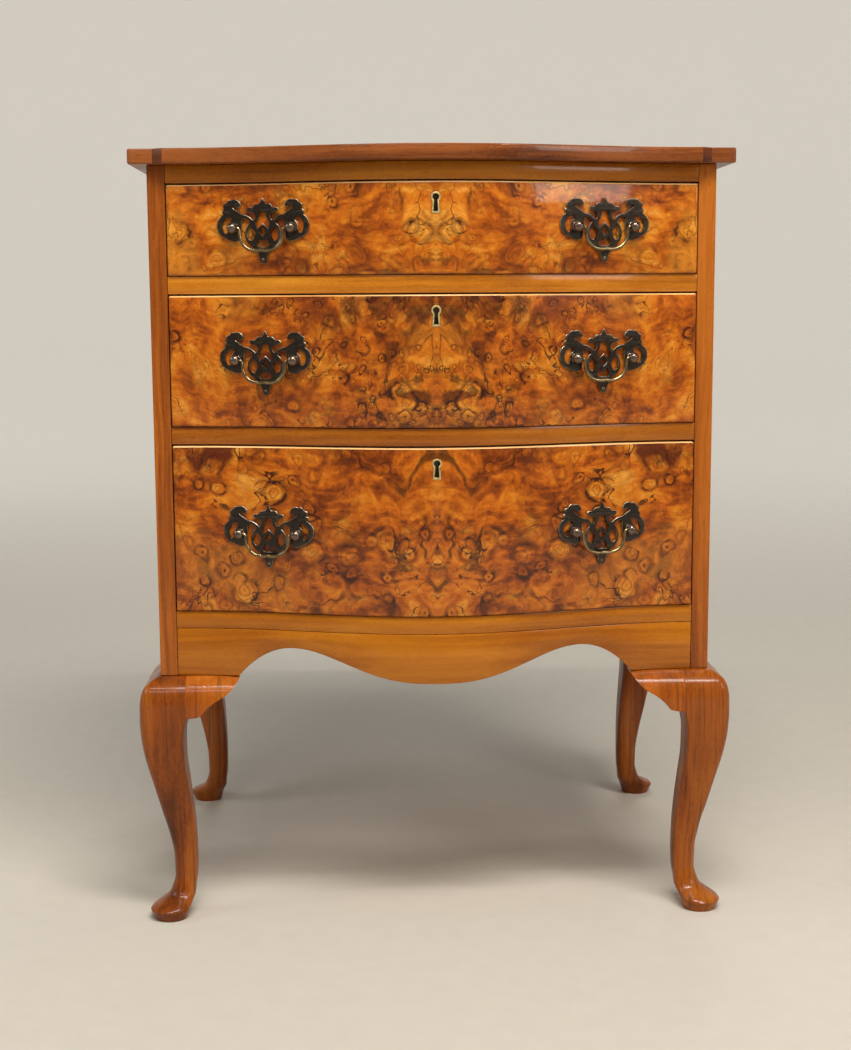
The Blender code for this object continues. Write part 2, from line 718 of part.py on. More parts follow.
def plate_mesh():
    """Pierced plate as a mesh standing in the XZ plane, its back at y = 0."""
    scale = PLATE_HALF / max(x for x, _z, _smooth in PLATE_EDGE)

    def sized(outline):
        return [(x * scale, z * scale, smooth) for x, z, smooth in outline]

    outlines = [mirrored(sized(PLATE_EDGE), True)]
    for hole in PLATE_SIDE_HOLES:
        outlines.append(sized(hole))
        outlines.append(mirrored(sized(hole), False))
    for hole in PLATE_MIDDLE_HOLES:
        outlines.append(mirrored(sized(hole), True))
    shape = plate_curve("plate_outline", outlines)
    carrier = bpy.data.objects.new("plate_outline", shape)
    bpy.context.collection.objects.link(carrier)
    graph = bpy.context.evaluated_depsgraph_get()
    mesh = bpy.data.meshes.new_from_object(carrier.evaluated_get(graph))
    bpy.data.objects.remove(carrier, do_unlink=True)
    work = bmesh.new()
    work.from_mesh(mesh)
    bmesh.ops.remove_doubles(work, verts=work.verts, dist=0.00001)
    for corner in work.verts:
        x, z, depth = corner.co
        corner.co = (x, -depth - PLATE_T / 2, z)
    bmesh.ops.recalc_face_normals(work, faces=work.faces)
    work.to_mesh(mesh)
    work.free()
    mesh.materials.clear()
    mesh.materials.append(material("dark_bronze"))
    return mesh


def post_rings(along, inside):
    """Turned post from its nut, through the front and plate, to its ball."""
    nut_front = inside + NUT_R * 0.12 + SEAT_GAP
    nut_back = nut_front + NUT_T
    rows = [(NUT_R, -nut_back), (NUT_R, -nut_front), (SHANK_R, -nut_front),
            (SHANK_R, PLATE_T * 0.4), (COLLAR_R, PLATE_T * 0.4), (COLLAR_R, PLATE_T * 1.3),
            (NECK_R, PLATE_T * 1.5)]
    for degrees in (-48, -16, 18, 52):
        angle = math.radians(degrees)
        rows.append((BALL_R * math.cos(angle), PIVOT + BALL_R * math.sin(angle)))
    rows.append((BALL_R * 0.12, PIVOT + BALL_R))
    rings = []
    for radius, depth in rows:
        turns = [2 * math.pi * (step + 0.5) / POST_SIDES for step in range(POST_SIDES)]
        rings.append([(along + radius * math.cos(a), -depth, radius * math.sin(a)) for a in turns])
    return rings


def rod_rings(near, far, y, radius):
    """Rings of a round rod along X at height zero."""
    turns = [2 * math.pi * (step + 0.5) / POST_SIDES for step in range(POST_SIDES)]
    return [[(x, y + radius * math.cos(a), radius * math.sin(a)) for a in turns] for x in (near, far)]


def bail_path():
    """Centre line of a bail about its axis, with the rod's radius."""
    pin = POST_HALF - BALL_R + PIN_DEPTH
    start = BAIL_HALF + 2 * BAIL_R
    right = [(pin, 0.0, BAIL_R), (start, 0.0, BAIL_R), (BAIL_HALF + 0.8 * BAIL_R, -0.3 * BAIL_R, BAIL_R),
             (BAIL_HALF + 0.2 * BAIL_R, -1.3 * BAIL_R, BAIL_R)]
    middle = []
    steps = 14
    for number in range(steps + 1):
        angle = math.radians(10 + 160 * number / steps)
        across = abs(math.cos(angle)) ** 0.70 * math.copysign(1.0, math.cos(angle))
        down = math.sin(angle) ** 0.70
        nick = 0.03 * math.exp(-((across / 0.13) ** 2))
        radius = BAIL_R + BAIL_SWELL * down
        middle.append((BAIL_HALF * across, -BAIL_DROP * (down - nick), radius))
    left = [(-x, z, radius) for x, z, radius in reversed(right)]
    return right + middle + left


def make_bail(name, holder):
    """Swinging bail whose origin lies on the axis through its two pins."""
    shape = bpy.data.curves.new(name, "CURVE")
    shape.dimensions = "3D"
    shape.bevel_depth = 1.0
    shape.bevel_resolution = 1
    shape.use_fill_caps = True
    path = bail_path()
    line = shape.splines.new("POLY")
    line.points.add(len(path) - 1)
    for knot, (x, z, radius) in zip(line.points, path):
        knot.co = (x, 0.0, z, 1.0)
        knot.radius = radius
    shape.materials.append(material("dark_bronze"))
    body = bpy.data.objects.new(name, shape)
    body.location = (0.0, -PIVOT, 0.0)
    body.parent = holder
    bpy.context.collection.objects.link(body)
    return body


def make_handles(name, height, front, drawer, plate):
    """Two pierced plates with posts and bails, and their bores in the front."""
    bores = []
    level = height / 2 + HANDLE_RISES[name]
    for side_name, side in (("left", -1), ("right", 1)):
        label = name + "_" + side_name
        frame = handle_frame(side)
        middle, seat, turn = frame
        holder = empty(label + "_handle", (middle, seat, level), drawer, turn)
        body = bpy.data.objects.new(label + "_handle_plate", plate.copy())
        body.parent = holder
        bpy.context.collection.objects.link(body)
        for end_name, end in (("near", -1), ("far", 1)):
            along = end * POST_HALF
            inside = depth_to_inside(frame, along)
            post = loft(label + "_" + end_name + "_post", post_rings(along, inside), "dark_bronze", holder)
            combine(body, post, "UNION")
            tip = end * (POST_HALF - BALL_R + PIN_DEPTH + SEAT_GAP)
            socket = loft(label + "_" + end_name + "_socket",
                          rod_rings(tip, end * (POST_HALF - 2 * BALL_R), -PIVOT, BAIL_R + SOCKET_GAP),
                          "dark_bronze", holder)
            combine(body, socket, "DIFFERENCE")
            bore = bore_rings(frame, along, level)
            bores.append(bore)
        make_bail(label + "_bail", holder)
    combine(front, join_rings(name + "_bores", bores, drawer), "DIFFERENCE")


def bore_rings(frame, along, height):
    """Rings of a bore through the drawer front, square to the plate."""
    middle, seat, turn = frame
    turns = [2 * math.pi * (step + 0.5) / POST_SIDES for step in range(POST_SIDES)]
    radius = SHANK_R + BORE_GAP
    rings = []
    for depth in (-FRONT_T, 2 * FRONT_T):
        ring = []
        for angle in turns:
            across = along + radius * math.cos(angle)
            ring.append((middle + across * math.cos(turn) - depth * math.sin(turn),
                         seat + across * math.sin(turn) + depth * math.cos(turn),
                         height + radius * math.sin(angle)))
        rings.append(ring)
    return rings


def make_drawer(name, low, height, plate):
    """Build one drawer on an empty that slides along Y."""
    drawer = empty(name + "_drawer", (0.0, FRONT_Y, low))
    front = serpentine_board(name + "_drawer_front", 0.0, height, front_face, inner_face,
                             DRAWER_HALF, "burr_veneer", drawer)
    cuts = socket_rings(height, -1) + socket_rings(height, 1) + [groove_rings()]
    combine(front, join_rings(name + "_joints", cuts, drawer), "DIFFERENCE")
    make_handles(name, height, front, drawer, plate)
    make_lock(name, height, front, drawer)

    outline = side_outline(height)
    for side_name, side in (("left", -1), ("right", 1)):
        rings = [[(x, y, z) for y, z in outline] for x in (side * BOX_IN, side * BOX_OUT)]
        board = loft(name + "_drawer_" + side_name + "_side", rings, "drawer_lining", drawer)
        faces_x = sorted((side * (BOX_IN - GROOVE), side * (BOX_IN + GROOVE)))
        groove = block(name + "_" + side_name + "_groove",
                       (faces_x[0], SHOULDER + GROOVE_STOP, BOTTOM_UP - SEAT_GAP),
                       (faces_x[1], BOX_BACK + GROOVE, BOTTOM_UP + BOTTOM_T + SEAT_GAP),
                       "drawer_lining", drawer)
        combine(board, groove, "DIFFERENCE")
    plan_board(name + "_drawer_bottom", bottom_outline(), BOTTOM_UP, BOTTOM_UP + BOTTOM_T,
               "drawer_lining", drawer)
    inside = BOX_IN - SEAT_GAP
    block(name + "_drawer_back", (-inside, BOX_BACK - BOX_T, BOTTOM_UP + BOTTOM_T + SEAT_GAP),
          (inside, BOX_BACK, height - BOX_DROP - BACK_DROP), "drawer_lining", drawer)


def main():
    """Build the whole chest."""
    clear_scene()
    rails, drawers = stack_heights()
    base = empty("carcase", (0.0, FRONT_Y, 0.0))
    make_carcase(base, rails)
    plate = plate_mesh()
    for name, height in DRAWER_HEIGHTS.items():
        make_drawer(name, drawers[name], height, plate)
    bpy.data.meshes.remove(plate)
    bpy.context.view_layer.update()


main()
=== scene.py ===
"""Looks of a bedside chest of three drawers with a serpentine burr walnut front.

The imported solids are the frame. Curved pieces are modelled again on the same lines at a
finer step, flat boards keep their solids, and every surface gets a node-based finish.
Units are metres, +Z is up and the drawers open towards -Y.
"""

import json
import logging
import math
from collections.abc import Callable, Sequence
from dataclasses import dataclass
from enum import Enum

import bmesh
import bpy
from mathutils import Matrix, Vector

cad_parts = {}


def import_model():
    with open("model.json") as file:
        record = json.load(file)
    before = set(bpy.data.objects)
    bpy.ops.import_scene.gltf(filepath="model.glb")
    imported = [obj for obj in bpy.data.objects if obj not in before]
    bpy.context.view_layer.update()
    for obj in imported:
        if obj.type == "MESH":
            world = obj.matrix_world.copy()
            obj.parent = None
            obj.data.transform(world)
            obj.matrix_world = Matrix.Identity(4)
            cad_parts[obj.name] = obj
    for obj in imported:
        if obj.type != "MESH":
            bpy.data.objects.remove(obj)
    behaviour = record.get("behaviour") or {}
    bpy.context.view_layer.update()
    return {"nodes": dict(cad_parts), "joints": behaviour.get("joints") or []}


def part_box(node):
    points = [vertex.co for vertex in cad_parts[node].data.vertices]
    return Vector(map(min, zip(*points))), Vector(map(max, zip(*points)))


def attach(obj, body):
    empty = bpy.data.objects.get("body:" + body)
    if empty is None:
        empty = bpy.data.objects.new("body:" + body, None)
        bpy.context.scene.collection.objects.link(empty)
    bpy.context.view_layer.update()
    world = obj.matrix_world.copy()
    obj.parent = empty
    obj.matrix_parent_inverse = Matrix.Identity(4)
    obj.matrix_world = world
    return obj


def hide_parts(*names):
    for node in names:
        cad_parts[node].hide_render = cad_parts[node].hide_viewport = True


LOG = logging.getLogger("chest")
TURN = 2.0 * math.pi
Point = tuple[float, float, float]
Shade = tuple[int, int, int]
Item = bpy.types.Object
Feed = bpy.types.NodeSocket | float | int | tuple


class Axis(Enum):
    """Direction that the grain of a board runs in."""

    ACROSS = 0
    DEEP = 1
    UPRIGHT = 2


class Side(Enum):
    """Left or right of the chest as seen from the front."""

    LEFT = -1
    RIGHT = 1

    @property
    def word(self) -> str:
        """Name of the side as it stands in the piece names."""
        return self.name.lower()


def tint(red: int, green: int, blue: int) -> tuple[float, float, float, float]:
    """Turn a colour of the screen into linear light.

    Args:
        red: red from 0 to 255.
        green: green from 0 to 255.
        blue: blue from 0 to 255.

    Returns:
        The linear colour with full cover.
    """
    shares = [value / 255.0 for value in (red, green, blue)]
    light = [s / 12.92 if s <= 0.04045 else ((s + 0.055) / 1.055) ** 2.4 for s in shares]
    return (light[0], light[1], light[2], 1.0)


def smooth_between(rows: Sequence[Sequence[float]], place: float) -> list[float]:
    """Read a table at any place on smooth lines that never overshoot.

    Args:
        rows: table rows, each starting with its place in rising order.
        place: where the table is read.

    Returns:
        The other columns of the table at that place.
    """
    place = min(max(place, rows[0][0]), rows[-1][0])
    number = 0
    while number < len(rows) - 2 and place > rows[number + 1][0]:
        number += 1
    run = rows[number + 1][0] - rows[number][0]
    part = (place - rows[number][0]) / run

    def slope(column: int, at: int) -> float:
        """Slope of one column at a row, level where the column turns back.

        Args:
            column: number of the column.
            at: number of the row.

        Returns:
            The slope.
        """
        if at in (0, len(rows) - 1):
            near = max(at - 1, 0)
            return (rows[near + 1][column] - rows[near][column]) / (rows[near + 1][0] - rows[near][0])
        before = (rows[at][column] - rows[at - 1][column]) / (rows[at][0] - rows[at - 1][0])
        after = (rows[at + 1][column] - rows[at][column]) / (rows[at + 1][0] - rows[at][0])
        if before * after <= 0.0:
            return 0.0
        return 2.0 * before * after / (before + after)

    values = []
    for column in range(1, len(rows[0])):
        low, high = rows[number][column], rows[number + 1][column]
        start, end = slope(column, number) * run, slope(column, number + 1) * run
        square, cube = part * part, part * part * part
        values.append((2 * cube - 3 * square + 1) * low + (cube - 2 * square + part) * start
                      + (3 * square - 2 * cube) * high + (cube - square) * end)
    return values


class Bench:
    """Hand tools that work on one mesh at a time through Blender's operators."""

    MERGE = 0.000001
    ALONG = 0.99

    @staticmethod
    def rest() -> None:
        """Leave edit mode and deselect everything."""
        if bpy.context.mode != "OBJECT":
            bpy.ops.object.mode_set(mode="OBJECT")
        bpy.ops.object.select_all(action="DESELECT")

    @staticmethod
    def only(item: Item) -> None:
        """Make one object the only selected and the active one.

        Args:
            item: the object.
        """
        Bench.rest()
        item.select_set(True)
        bpy.context.view_layer.objects.active = item

    @staticmethod
    def adopt(name: str) -> Item:
        """Name the object that was just added and put its place in its mesh.

        Args:
            name: name of the piece.

        Returns:
            The piece, sitting at the origin.
        """
        item = bpy.context.active_object
        item.name = name
        item.data.name = name
        bpy.ops.object.transform_apply(location=True, rotation=True, scale=True)
        return item

    @staticmethod
    def block(name: str, low: Sequence[float], high: Sequence[float]) -> Item:
        """Add a square block between two opposite corners.

        Args:
            name: name of the piece.
            low: lowest corner.
            high: highest corner.

        Returns:
            The block.
        """
        Bench.rest()
        middle = [(near + far) / 2.0 for near, far in zip(low, high)]
        bpy.ops.mesh.primitive_cube_add(size=1.0, location=middle)
        bpy.context.active_object.scale = [far - near for near, far in zip(low, high)]
        return Bench.adopt(name)

    @staticmethod
    def slice(item: Item, axis: Axis, count: int) -> None:
        """Cut a block into even slices by subdividing the edges along one axis.

        Args:
            item: the block.
            axis: the axis that the slices follow each other on.
            count: how many slices.
        """
        Bench.only(item)
        bpy.ops.object.mode_set(mode="EDIT")
        bpy.ops.mesh.select_mode(type="EDGE")
        bpy.ops.mesh.select_all(action="DESELECT")
        shape = bmesh.from_edit_mesh(item.data)
        for edge in shape.edges:
            run = edge.verts[1].co - edge.verts[0].co
            edge.select_set(abs(run[axis.value]) > Bench.ALONG * run.length)
        bmesh.update_edit_mesh(item.data)
        bpy.ops.mesh.subdivide(number_cuts=count - 1)
        bpy.ops.object.mode_set(mode="OBJECT")

    @staticmethod
    def shape(item: Item, rule: Callable[[Vector], Sequence[float]]) -> None:
        """Move every point of a mesh to where a rule puts it.

        Args:
            item: the piece.
            rule: gives a point's new place from its old one.
        """
        for corner in item.data.vertices:
            corner.co = rule(corner.co)
        item.data.update()

    @staticmethod
    def face_out(item: Item) -> None:
        """Merge doubled points and turn every face outward.

        Args:
            item: the piece.
        """
        Bench.only(item)
        bpy.ops.object.mode_set(mode="EDIT")
        bpy.ops.mesh.select_all(action="SELECT")
        bpy.ops.mesh.remove_doubles(threshold=Bench.MERGE)
        bpy.ops.mesh.normals_make_consistent(inside=False)
        bpy.ops.object.mode_set(mode="OBJECT")

    @staticmethod
    def loft(name: str, rings: Sequence[Sequence[Point]]) -> Item:
        """Shape a sliced cylinder so that each of its rings follows an outline.

        Args:
            name: name of the piece.
            rings: outlines of equal length from one end to the other.

        Returns:
            The closed piece.
        """
        rows, size = len(rings), len(rings[0])
        Bench.rest()
        bpy.ops.mesh.primitive_cylinder_add(vertices=size, radius=1.0, depth=rows - 1.0, end_fill_type="NGON")
        item = Bench.adopt(name)
        if rows > 2:
            Bench.slice(item, Axis.UPRIGHT, rows - 1)
        first = item.data.vertices[0].co
        start = math.atan2(first.y, first.x)

        def place(spot: Vector) -> Point:
            """Outline point that a point of the cylinder stands for.

            Args:
                spot: the cylinder's point.

            Returns:
                The point of the outline.
            """
            row = round(spot.z + (rows - 1) / 2.0)
            step = round((math.atan2(spot.y, spot.x) - start) % TURN / TURN * size) % size
            return rings[row][step]

        Bench.shape(item, place)
        Bench.face_out(item)
        return item

    @staticmethod
    def turned(name: str, rows: Sequence[tuple[float, float]], sides: int = 28) -> Item:
        """Turn a profile of radius and depth about the Y axis.

        Args:
            name: name of the piece.
            rows: profile from the back to the front.
            sides: facets round the piece.

        Returns:
            The turned piece.
        """
        turns = [TURN * step / sides for step in range(sides)]
        rings = [[(radius * math.cos(turn), -depth, radius * math.sin(turn)) for turn in turns]
                 for radius, depth in rows]
        return Bench.loft(name, rings)

    @staticmethod
    def change(item: Item, kind: str, **settings: object) -> None:
        """Add one modifier with its settings and apply it.

        Args:
            item: the piece.
            kind: Blender's name for the modifier.
            settings: the modifier's own settings.
        """
        Bench.only(item)
        modifier = item.modifiers.new(kind.lower(), kind)
        for key, value in settings.items():
            setattr(modifier, key, value)
        bpy.ops.object.modifier_apply(modifier=modifier.name)

    @staticmethod
    def ease(item: Item, width: float, segments: int = 2, degrees: float = 40.0) -> None:
        """Round the sharp edges of a piece.

        Args:
            item: the piece.
            width: width of the rounding.
            segments: facets of the rounding.
            degrees: edges that turn by more than this are rounded.
        """
        Bench.change(item, "BEVEL", width=width, segments=segments, limit_method="ANGLE",
                     angle_limit=math.radians(degrees))

    @staticmethod
    def cut(item: Item, tool: Item) -> None:
        """Cut a tool out of a piece and throw the tool away."""
        Bench.change(item, "BOOLEAN", operation="DIFFERENCE", solver="EXACT", object=tool)
        bpy.data.objects.remove(tool, do_unlink=True)

    @staticmethod
    def smooth(item: Item, degrees: float = 35.0) -> None:
        """Shade a piece smooth up to an angle between its faces."""
        Bench.only(item)
        bpy.ops.object.shade_smooth_by_angle(angle=math.radians(degrees))

    @staticmethod
    def outline_mesh(name: str, outlines: Sequence[Sequence[tuple[float, float, bool]]], thick: float,
                     edge: float, steps: int) -> Item:
        """Make a flat pierced piece from closed outlines, with rounded edges.

        Args:
            name: name of the piece.
            outlines: outer line and piercings as points of x, height and smoothness.
            thick: thickness of the piece.
            edge: rounding of its edges.
            steps: facets between two points of an outline.

        Returns:
            The piece standing in the XZ plane, with its back at y = 0.
        """
        Bench.rest()
        line = bpy.data.curves.new(name, "CURVE")
        line.dimensions = "2D"
        line.fill_mode = "BOTH"
        line.extrude = thick / 2.0 - edge
        line.bevel_depth = edge
        line.bevel_resolution = 2
        line.offset = -edge
        line.resolution_u = steps
        for outline in outlines:
            spline = line.splines.new("BEZIER")
            spline.bezier_points.add(len(outline) - 1)
            for knot, (x, z, soft) in zip(spline.bezier_points, outline):
                knot.co = (x, z, 0.0)
                knot.handle_left_type = knot.handle_right_type = "AUTO" if soft else "VECTOR"
            spline.use_cyclic_u = True
        item = bpy.data.objects.new(name, line)
        bpy.context.collection.objects.link(item)
        Bench.only(item)
        bpy.ops.object.convert(target="MESH")
        item = bpy.context.active_object
        Bench.shape(item, lambda spot: (spot.x, -spot.z - thick / 2.0, spot.y))
        Bench.face_out(item)
        return item

    @staticmethod
    def copy_to(item: Item, name: str, place: Matrix) -> Item:
        """Copy a piece with its own mesh and put the copy's place in that mesh.

        Args:
            item: the piece that repeats.
            name: name of the copy.
            place: where the copy goes.

        Returns:
            The copy.
        """
        Bench.only(item)
        bpy.ops.object.duplicate(linked=False)
        twin = bpy.context.active_object
        twin.name = name
        twin.data.name = name
        twin.data.transform(place)
        return twin


class Wiring:
    """Adds and links the nodes of one tree."""

    HALF = (0.5, 0.5, 0.5)

    def __init__(self, tree: bpy.types.NodeTree) -> None:
        """Keep the tree that the nodes go into."""
        self.tree = tree

    def feed(self, socket: bpy.types.NodeSocket, value: Feed) -> None:
        """Link a socket or set its own value.

        Args:
            socket: the input.
            value: the output to link, or the value to set.
        """
        if isinstance(value, bpy.types.NodeSocket):
            self.tree.links.new(value, socket)
        else:
            socket.default_value = value

    def put(self, kind: str, feeds: dict | None = None, **settings: object) -> bpy.types.Node:
        """Add one node.

        Args:
            kind: Blender's name for the node.
            feeds: inputs by name or number, each a socket or a value.
            settings: the node's own settings.

        Returns:
            The node.
        """
        node = self.tree.nodes.new(kind)
        for key, value in settings.items():
            setattr(node, key, value)
        for key, value in (feeds or {}).items():
            self.feed(node.inputs[key], value)
        return node

    def math(self, operation: str, *values: Feed) -> bpy.types.NodeSocket:
        """Result of a Math node."""
        return self.put("ShaderNodeMath", dict(enumerate(values)), operation=operation).outputs[0]

    def times(self, first: Feed, second: Feed) -> bpy.types.NodeSocket:
        """Product of two values."""
        return self.math("MULTIPLY", first, second)

    def most(self, first: Feed, *others: Feed) -> bpy.types.NodeSocket:
        """Largest of some values.

        Args:
            first: one value.
            others: the other values.

        Returns:
            The largest value.
        """
        for other in others:
            first = self.math("MAXIMUM", first, other)
        return first

    def total(self, *shares: tuple[Feed, float]) -> bpy.types.NodeSocket:
        """Sum of values, each with its weight.

        Args:
            shares: pairs of a value and its weight.

        Returns:
            The sum.
        """
        parts = [self.times(value, weight) for value, weight in shares]
        whole = parts[0]
        for part in parts[1:]:
            whole = self.math("ADD", whole, part)
        return whole

    def vector(self, operation: str, *values: Feed) -> bpy.types.NodeSocket:
        """Result of a Vector Math node.

        Args:
            operation: Blender's name for the operation.
            values: its inputs in order.

        Returns:
            The result.
        """
        node = self.put("ShaderNodeVectorMath", operation=operation)
        for number, value in enumerate(values):
            self.feed(node.inputs["Scale" if operation == "SCALE" and number else number], value)
        return node.outputs[0]

    def split(self, place: Feed) -> bpy.types.bpy_prop_collection:
        """X, Y and Z of a place."""
        return self.put("ShaderNodeSeparateXYZ", {0: place}).outputs

    def join(self, *values: Feed) -> bpy.types.NodeSocket:
        """Place made of X, Y and Z."""
        return self.put("ShaderNodeCombineXYZ", dict(enumerate(values))).outputs[0]

    def noise(self, place: Feed, scale: float, detail: float = 2.0, rough: float = 0.5,
              twist: float = 0.0) -> bpy.types.Node:
        """Noise texture at a place; its outputs are Fac and Color."""
        return self.put("ShaderNodeTexNoise", {"Vector": place, "Scale": scale, "Detail": detail,
                                               "Roughness": rough, "Distortion": twist})

    def cloud(self, place: Feed, scale: float, detail: float = 2.0, rough: float = 0.5,
              twist: float = 0.0) -> bpy.types.NodeSocket:
        """Value of a noise at a place."""
        return self.noise(place, scale, detail, rough, twist).outputs["Fac"]

    def stretched(self, place: Feed, scales: Point, detail: float,
                  rough: float = 0.5) -> bpy.types.NodeSocket:
        """Value of a noise that has its own scale along each axis."""
        return self.cloud(self.vector("MULTIPLY", place, scales), 1.0, detail, rough)

    def pushed(self, place: Feed, field: bpy.types.Node, reach: Feed) -> bpy.types.NodeSocket:
        """Place that is moved about by the colours of a noise."""
        push = self.vector("SUBTRACT", field.outputs["Color"], self.HALF)
        return self.vector("ADD", place, self.vector("SCALE", push, reach))

    def span(self, value: Feed, low: float, high: float, out: float = 0.0,
             top: float = 1.0) -> bpy.types.NodeSocket:
        """Spread a range of values softly over another range."""
        feeds = {"Value": value, "From Min": low, "From Max": high, "To Min": out, "To Max": top}
        return self.put("ShaderNodeMapRange", feeds, interpolation_type="SMOOTHSTEP").outputs[0]

    def mix(self, share: Feed, first: Feed, second: Feed, mode: str = "MIX") -> bpy.types.NodeSocket:
        """Mix two colours by a share."""
        node = self.put("ShaderNodeMix", {0: share, 6: first, 7: second}, data_type="RGBA", blend_type=mode)
        return node.outputs[2]

    def ramp(self, value: Feed, stops: Sequence[tuple[float, tuple]]) -> bpy.types.NodeSocket:
        """Colour read from a ramp of stops.

        Args:
            value: where the ramp is read.
            stops: places and colours in rising order.

        Returns:
            The colour.
        """
        node = self.put("ShaderNodeValToRGB", {0: value})
        marks = node.color_ramp.elements
        while len(marks) < len(stops):
            marks.new(1.0)
        for mark, (spot, colour) in zip(marks, stops):
            mark.position = spot
            mark.color = colour
        return node.outputs[0]


class BurrFigure:
    """Node group of burr veneer: mottled ground, scattered round lobes with eyes, and winding lines."""

    def __init__(self) -> None:
        """Start the group and find the places that its patterns read, mirrored about the middle."""
        inputs = {"Place": "Vector", "Seed": "Float", "Eyes": "Float", "Fine": "Float", "Lean": "Float"}
        outputs = ("Tone", "Line", "Core", "Smoke", "Pale", "Fibre")
        self.wires, self.given, self.made = Effects.group("burr_figure", inputs, outputs)
        wires, given = self.wires, self.given
        parts = wires.split(given["Place"])
        self.away = wires.math("ABSOLUTE", parts[0])
        drift = wires.cloud(given["Place"], 11.0, 1.0)
        slip = wires.times(wires.math("SUBTRACT", drift, 0.5), 0.010)
        self.leaf = wires.join(wires.math("ADD", self.away, slip), given["Seed"], parts[2])
        self.swirl = self.warped(self.leaf, 8.0, 0.070)
        self.curl = self.warped(self.swirl, 34.0, 0.022, 3.0)
        self.ruffle = self.warped(self.curl, 120.0, 0.006)
        self.gaps = wires.cloud(self.curl, 70.0)
        self.lean = wires.times(wires.span(self.away, 0.0, 0.25, 0.10, -0.10), given["Lean"])
        flock = wires.math("ADD", wires.cloud(self.leaf, 13.0), self.lean)
        self.flock = wires.times(wires.span(flock, 0.38, 0.52), given["Eyes"])
        seats = wires.split(self.warped(self.warped(self.leaf, 34.0, 0.016), 120.0, 0.005))
        self.seats = wires.join(seats[0], seats[2])

    def warped(self, place: Feed, scale: float, reach: float, detail: float = 2.0) -> bpy.types.NodeSocket:
        """Place that is pushed about by a noise of its own."""
        return self.wires.pushed(place, self.wires.noise(place, scale, detail), reach)

    def lobes(self, scale: float, rare: float, rim: float, shift: float) -> tuple[bpy.types.NodeSocket, ...]:
        """Scatter round lobes.

        Args:
            scale: how many there are to a metre.
            rare: share of the seats that stay empty.
            rim: radius of a lobe as a share of its seat.
            shift: how far the seats move with the seed.

        Returns:
            Masks of the pale bodies, of the dark outlines and of the dark eyes.
        """
        wires = self.wires
        spot = wires.vector("ADD", self.seats, wires.vector("SCALE", (shift, 1.0, 0.0), self.given["Seed"]))
        cells = wires.put("ShaderNodeTexVoronoi", {"Vector": spot, "Scale": scale}, voronoi_dimensions="2D")
        off = cells.outputs["Distance"]
        pick = wires.put("ShaderNodeSeparateColor", {0: cells.outputs["Color"]}).outputs
        chosen = wires.times(wires.span(pick[0], rare, 1.0, 0.0, 1.6), self.flock)
        off_rim = wires.math("ABSOLUTE", wires.math("SUBTRACT", off, rim))
        edge = wires.times(wires.span(off_rim, 0.0, 0.13, 1.0, 0.0), wires.span(self.gaps, 0.34, 0.62))
        halo = wires.times(wires.span(off, rim, rim + 0.26, 0.60, 0.0), wires.math("GREATER_THAN", off, rim))
        rings = wires.math("COSINE", wires.times(off, TURN * 2.6 / rim))
        inside = wires.span(off, rim * 0.8, rim * 1.3, 0.42, 0.0)
        outline = wires.most(edge, halo, wires.times(wires.span(rings, 0.0, 1.0), inside))
        eye = wires.times(wires.span(off, 0.03, 0.10, 1.0, 0.0), wires.span(pick[1], 0.45, 0.55))
        body = wires.span(off, rim * 0.5, rim, 1.0, 0.0)
        return tuple(wires.times(part, chosen) for part in (body, outline, eye))

    def crack(self, place: Feed, scale: float, level: float, fine: float) -> bpy.types.NodeSocket:
        """Thin winding line where a noise crosses one level.

        Args:
            place: where the noise is read.
            scale: scale of the noise.
            level: the level.
            fine: width of the line, in the noise's own values.

        Returns:
            Mask of the line.
        """
        wires = self.wires
        off = wires.math("ABSOLUTE", wires.math("SUBTRACT", wires.cloud(place, scale), level))
        return wires.span(off, fine * 0.3, fine, 1.0, 0.0)

    def build_lobes(self) -> bpy.types.NodeSocket:
        """Put out the dark rims and eyes of the lobes in three sizes.

        Returns:
            Mask of their pale bodies.
        """
        wires = self.wires
        large_body, large_rim = self.lobes(scale=30.0, rare=0.40, rim=0.33, shift=5.9)[:2]
        wide_body, wide_rim, wide_eye = self.lobes(scale=56.0, rare=0.36, rim=0.33, shift=0.7)
        small = self.lobes(scale=112.0, rare=0.52, rim=0.32, shift=3.7)
        small_body, small_rim, small_eye = (wires.times(part, self.given["Fine"]) for part in small)
        wires.feed(self.made["Core"], wires.most(large_rim, wide_rim, small_rim, wide_eye, small_eye))
        return wires.most(large_body, wide_body, small_body)

    def build_lines(self) -> None:
        """Put out the winding lines: fine ones in patches and bolder ones near the middle."""
        wires = self.wires
        fine = wires.most(self.crack(self.ruffle, 21.0, 0.50, 0.009),
                          self.crack(self.ruffle, 33.0, 0.56, 0.012))
        patches = wires.span(wires.cloud(self.leaf, 24.0, 3.0), 0.50, 0.60)
        bold = wires.times(self.crack(self.curl, 15.0, 0.50, 0.030),
                           wires.span(self.away, 0.06, 0.15, 0.85, 0.0))
        bold = wires.times(bold, wires.span(self.gaps, 0.36, 0.60))
        wires.feed(self.made["Line"], wires.most(wires.times(fine, patches), bold))

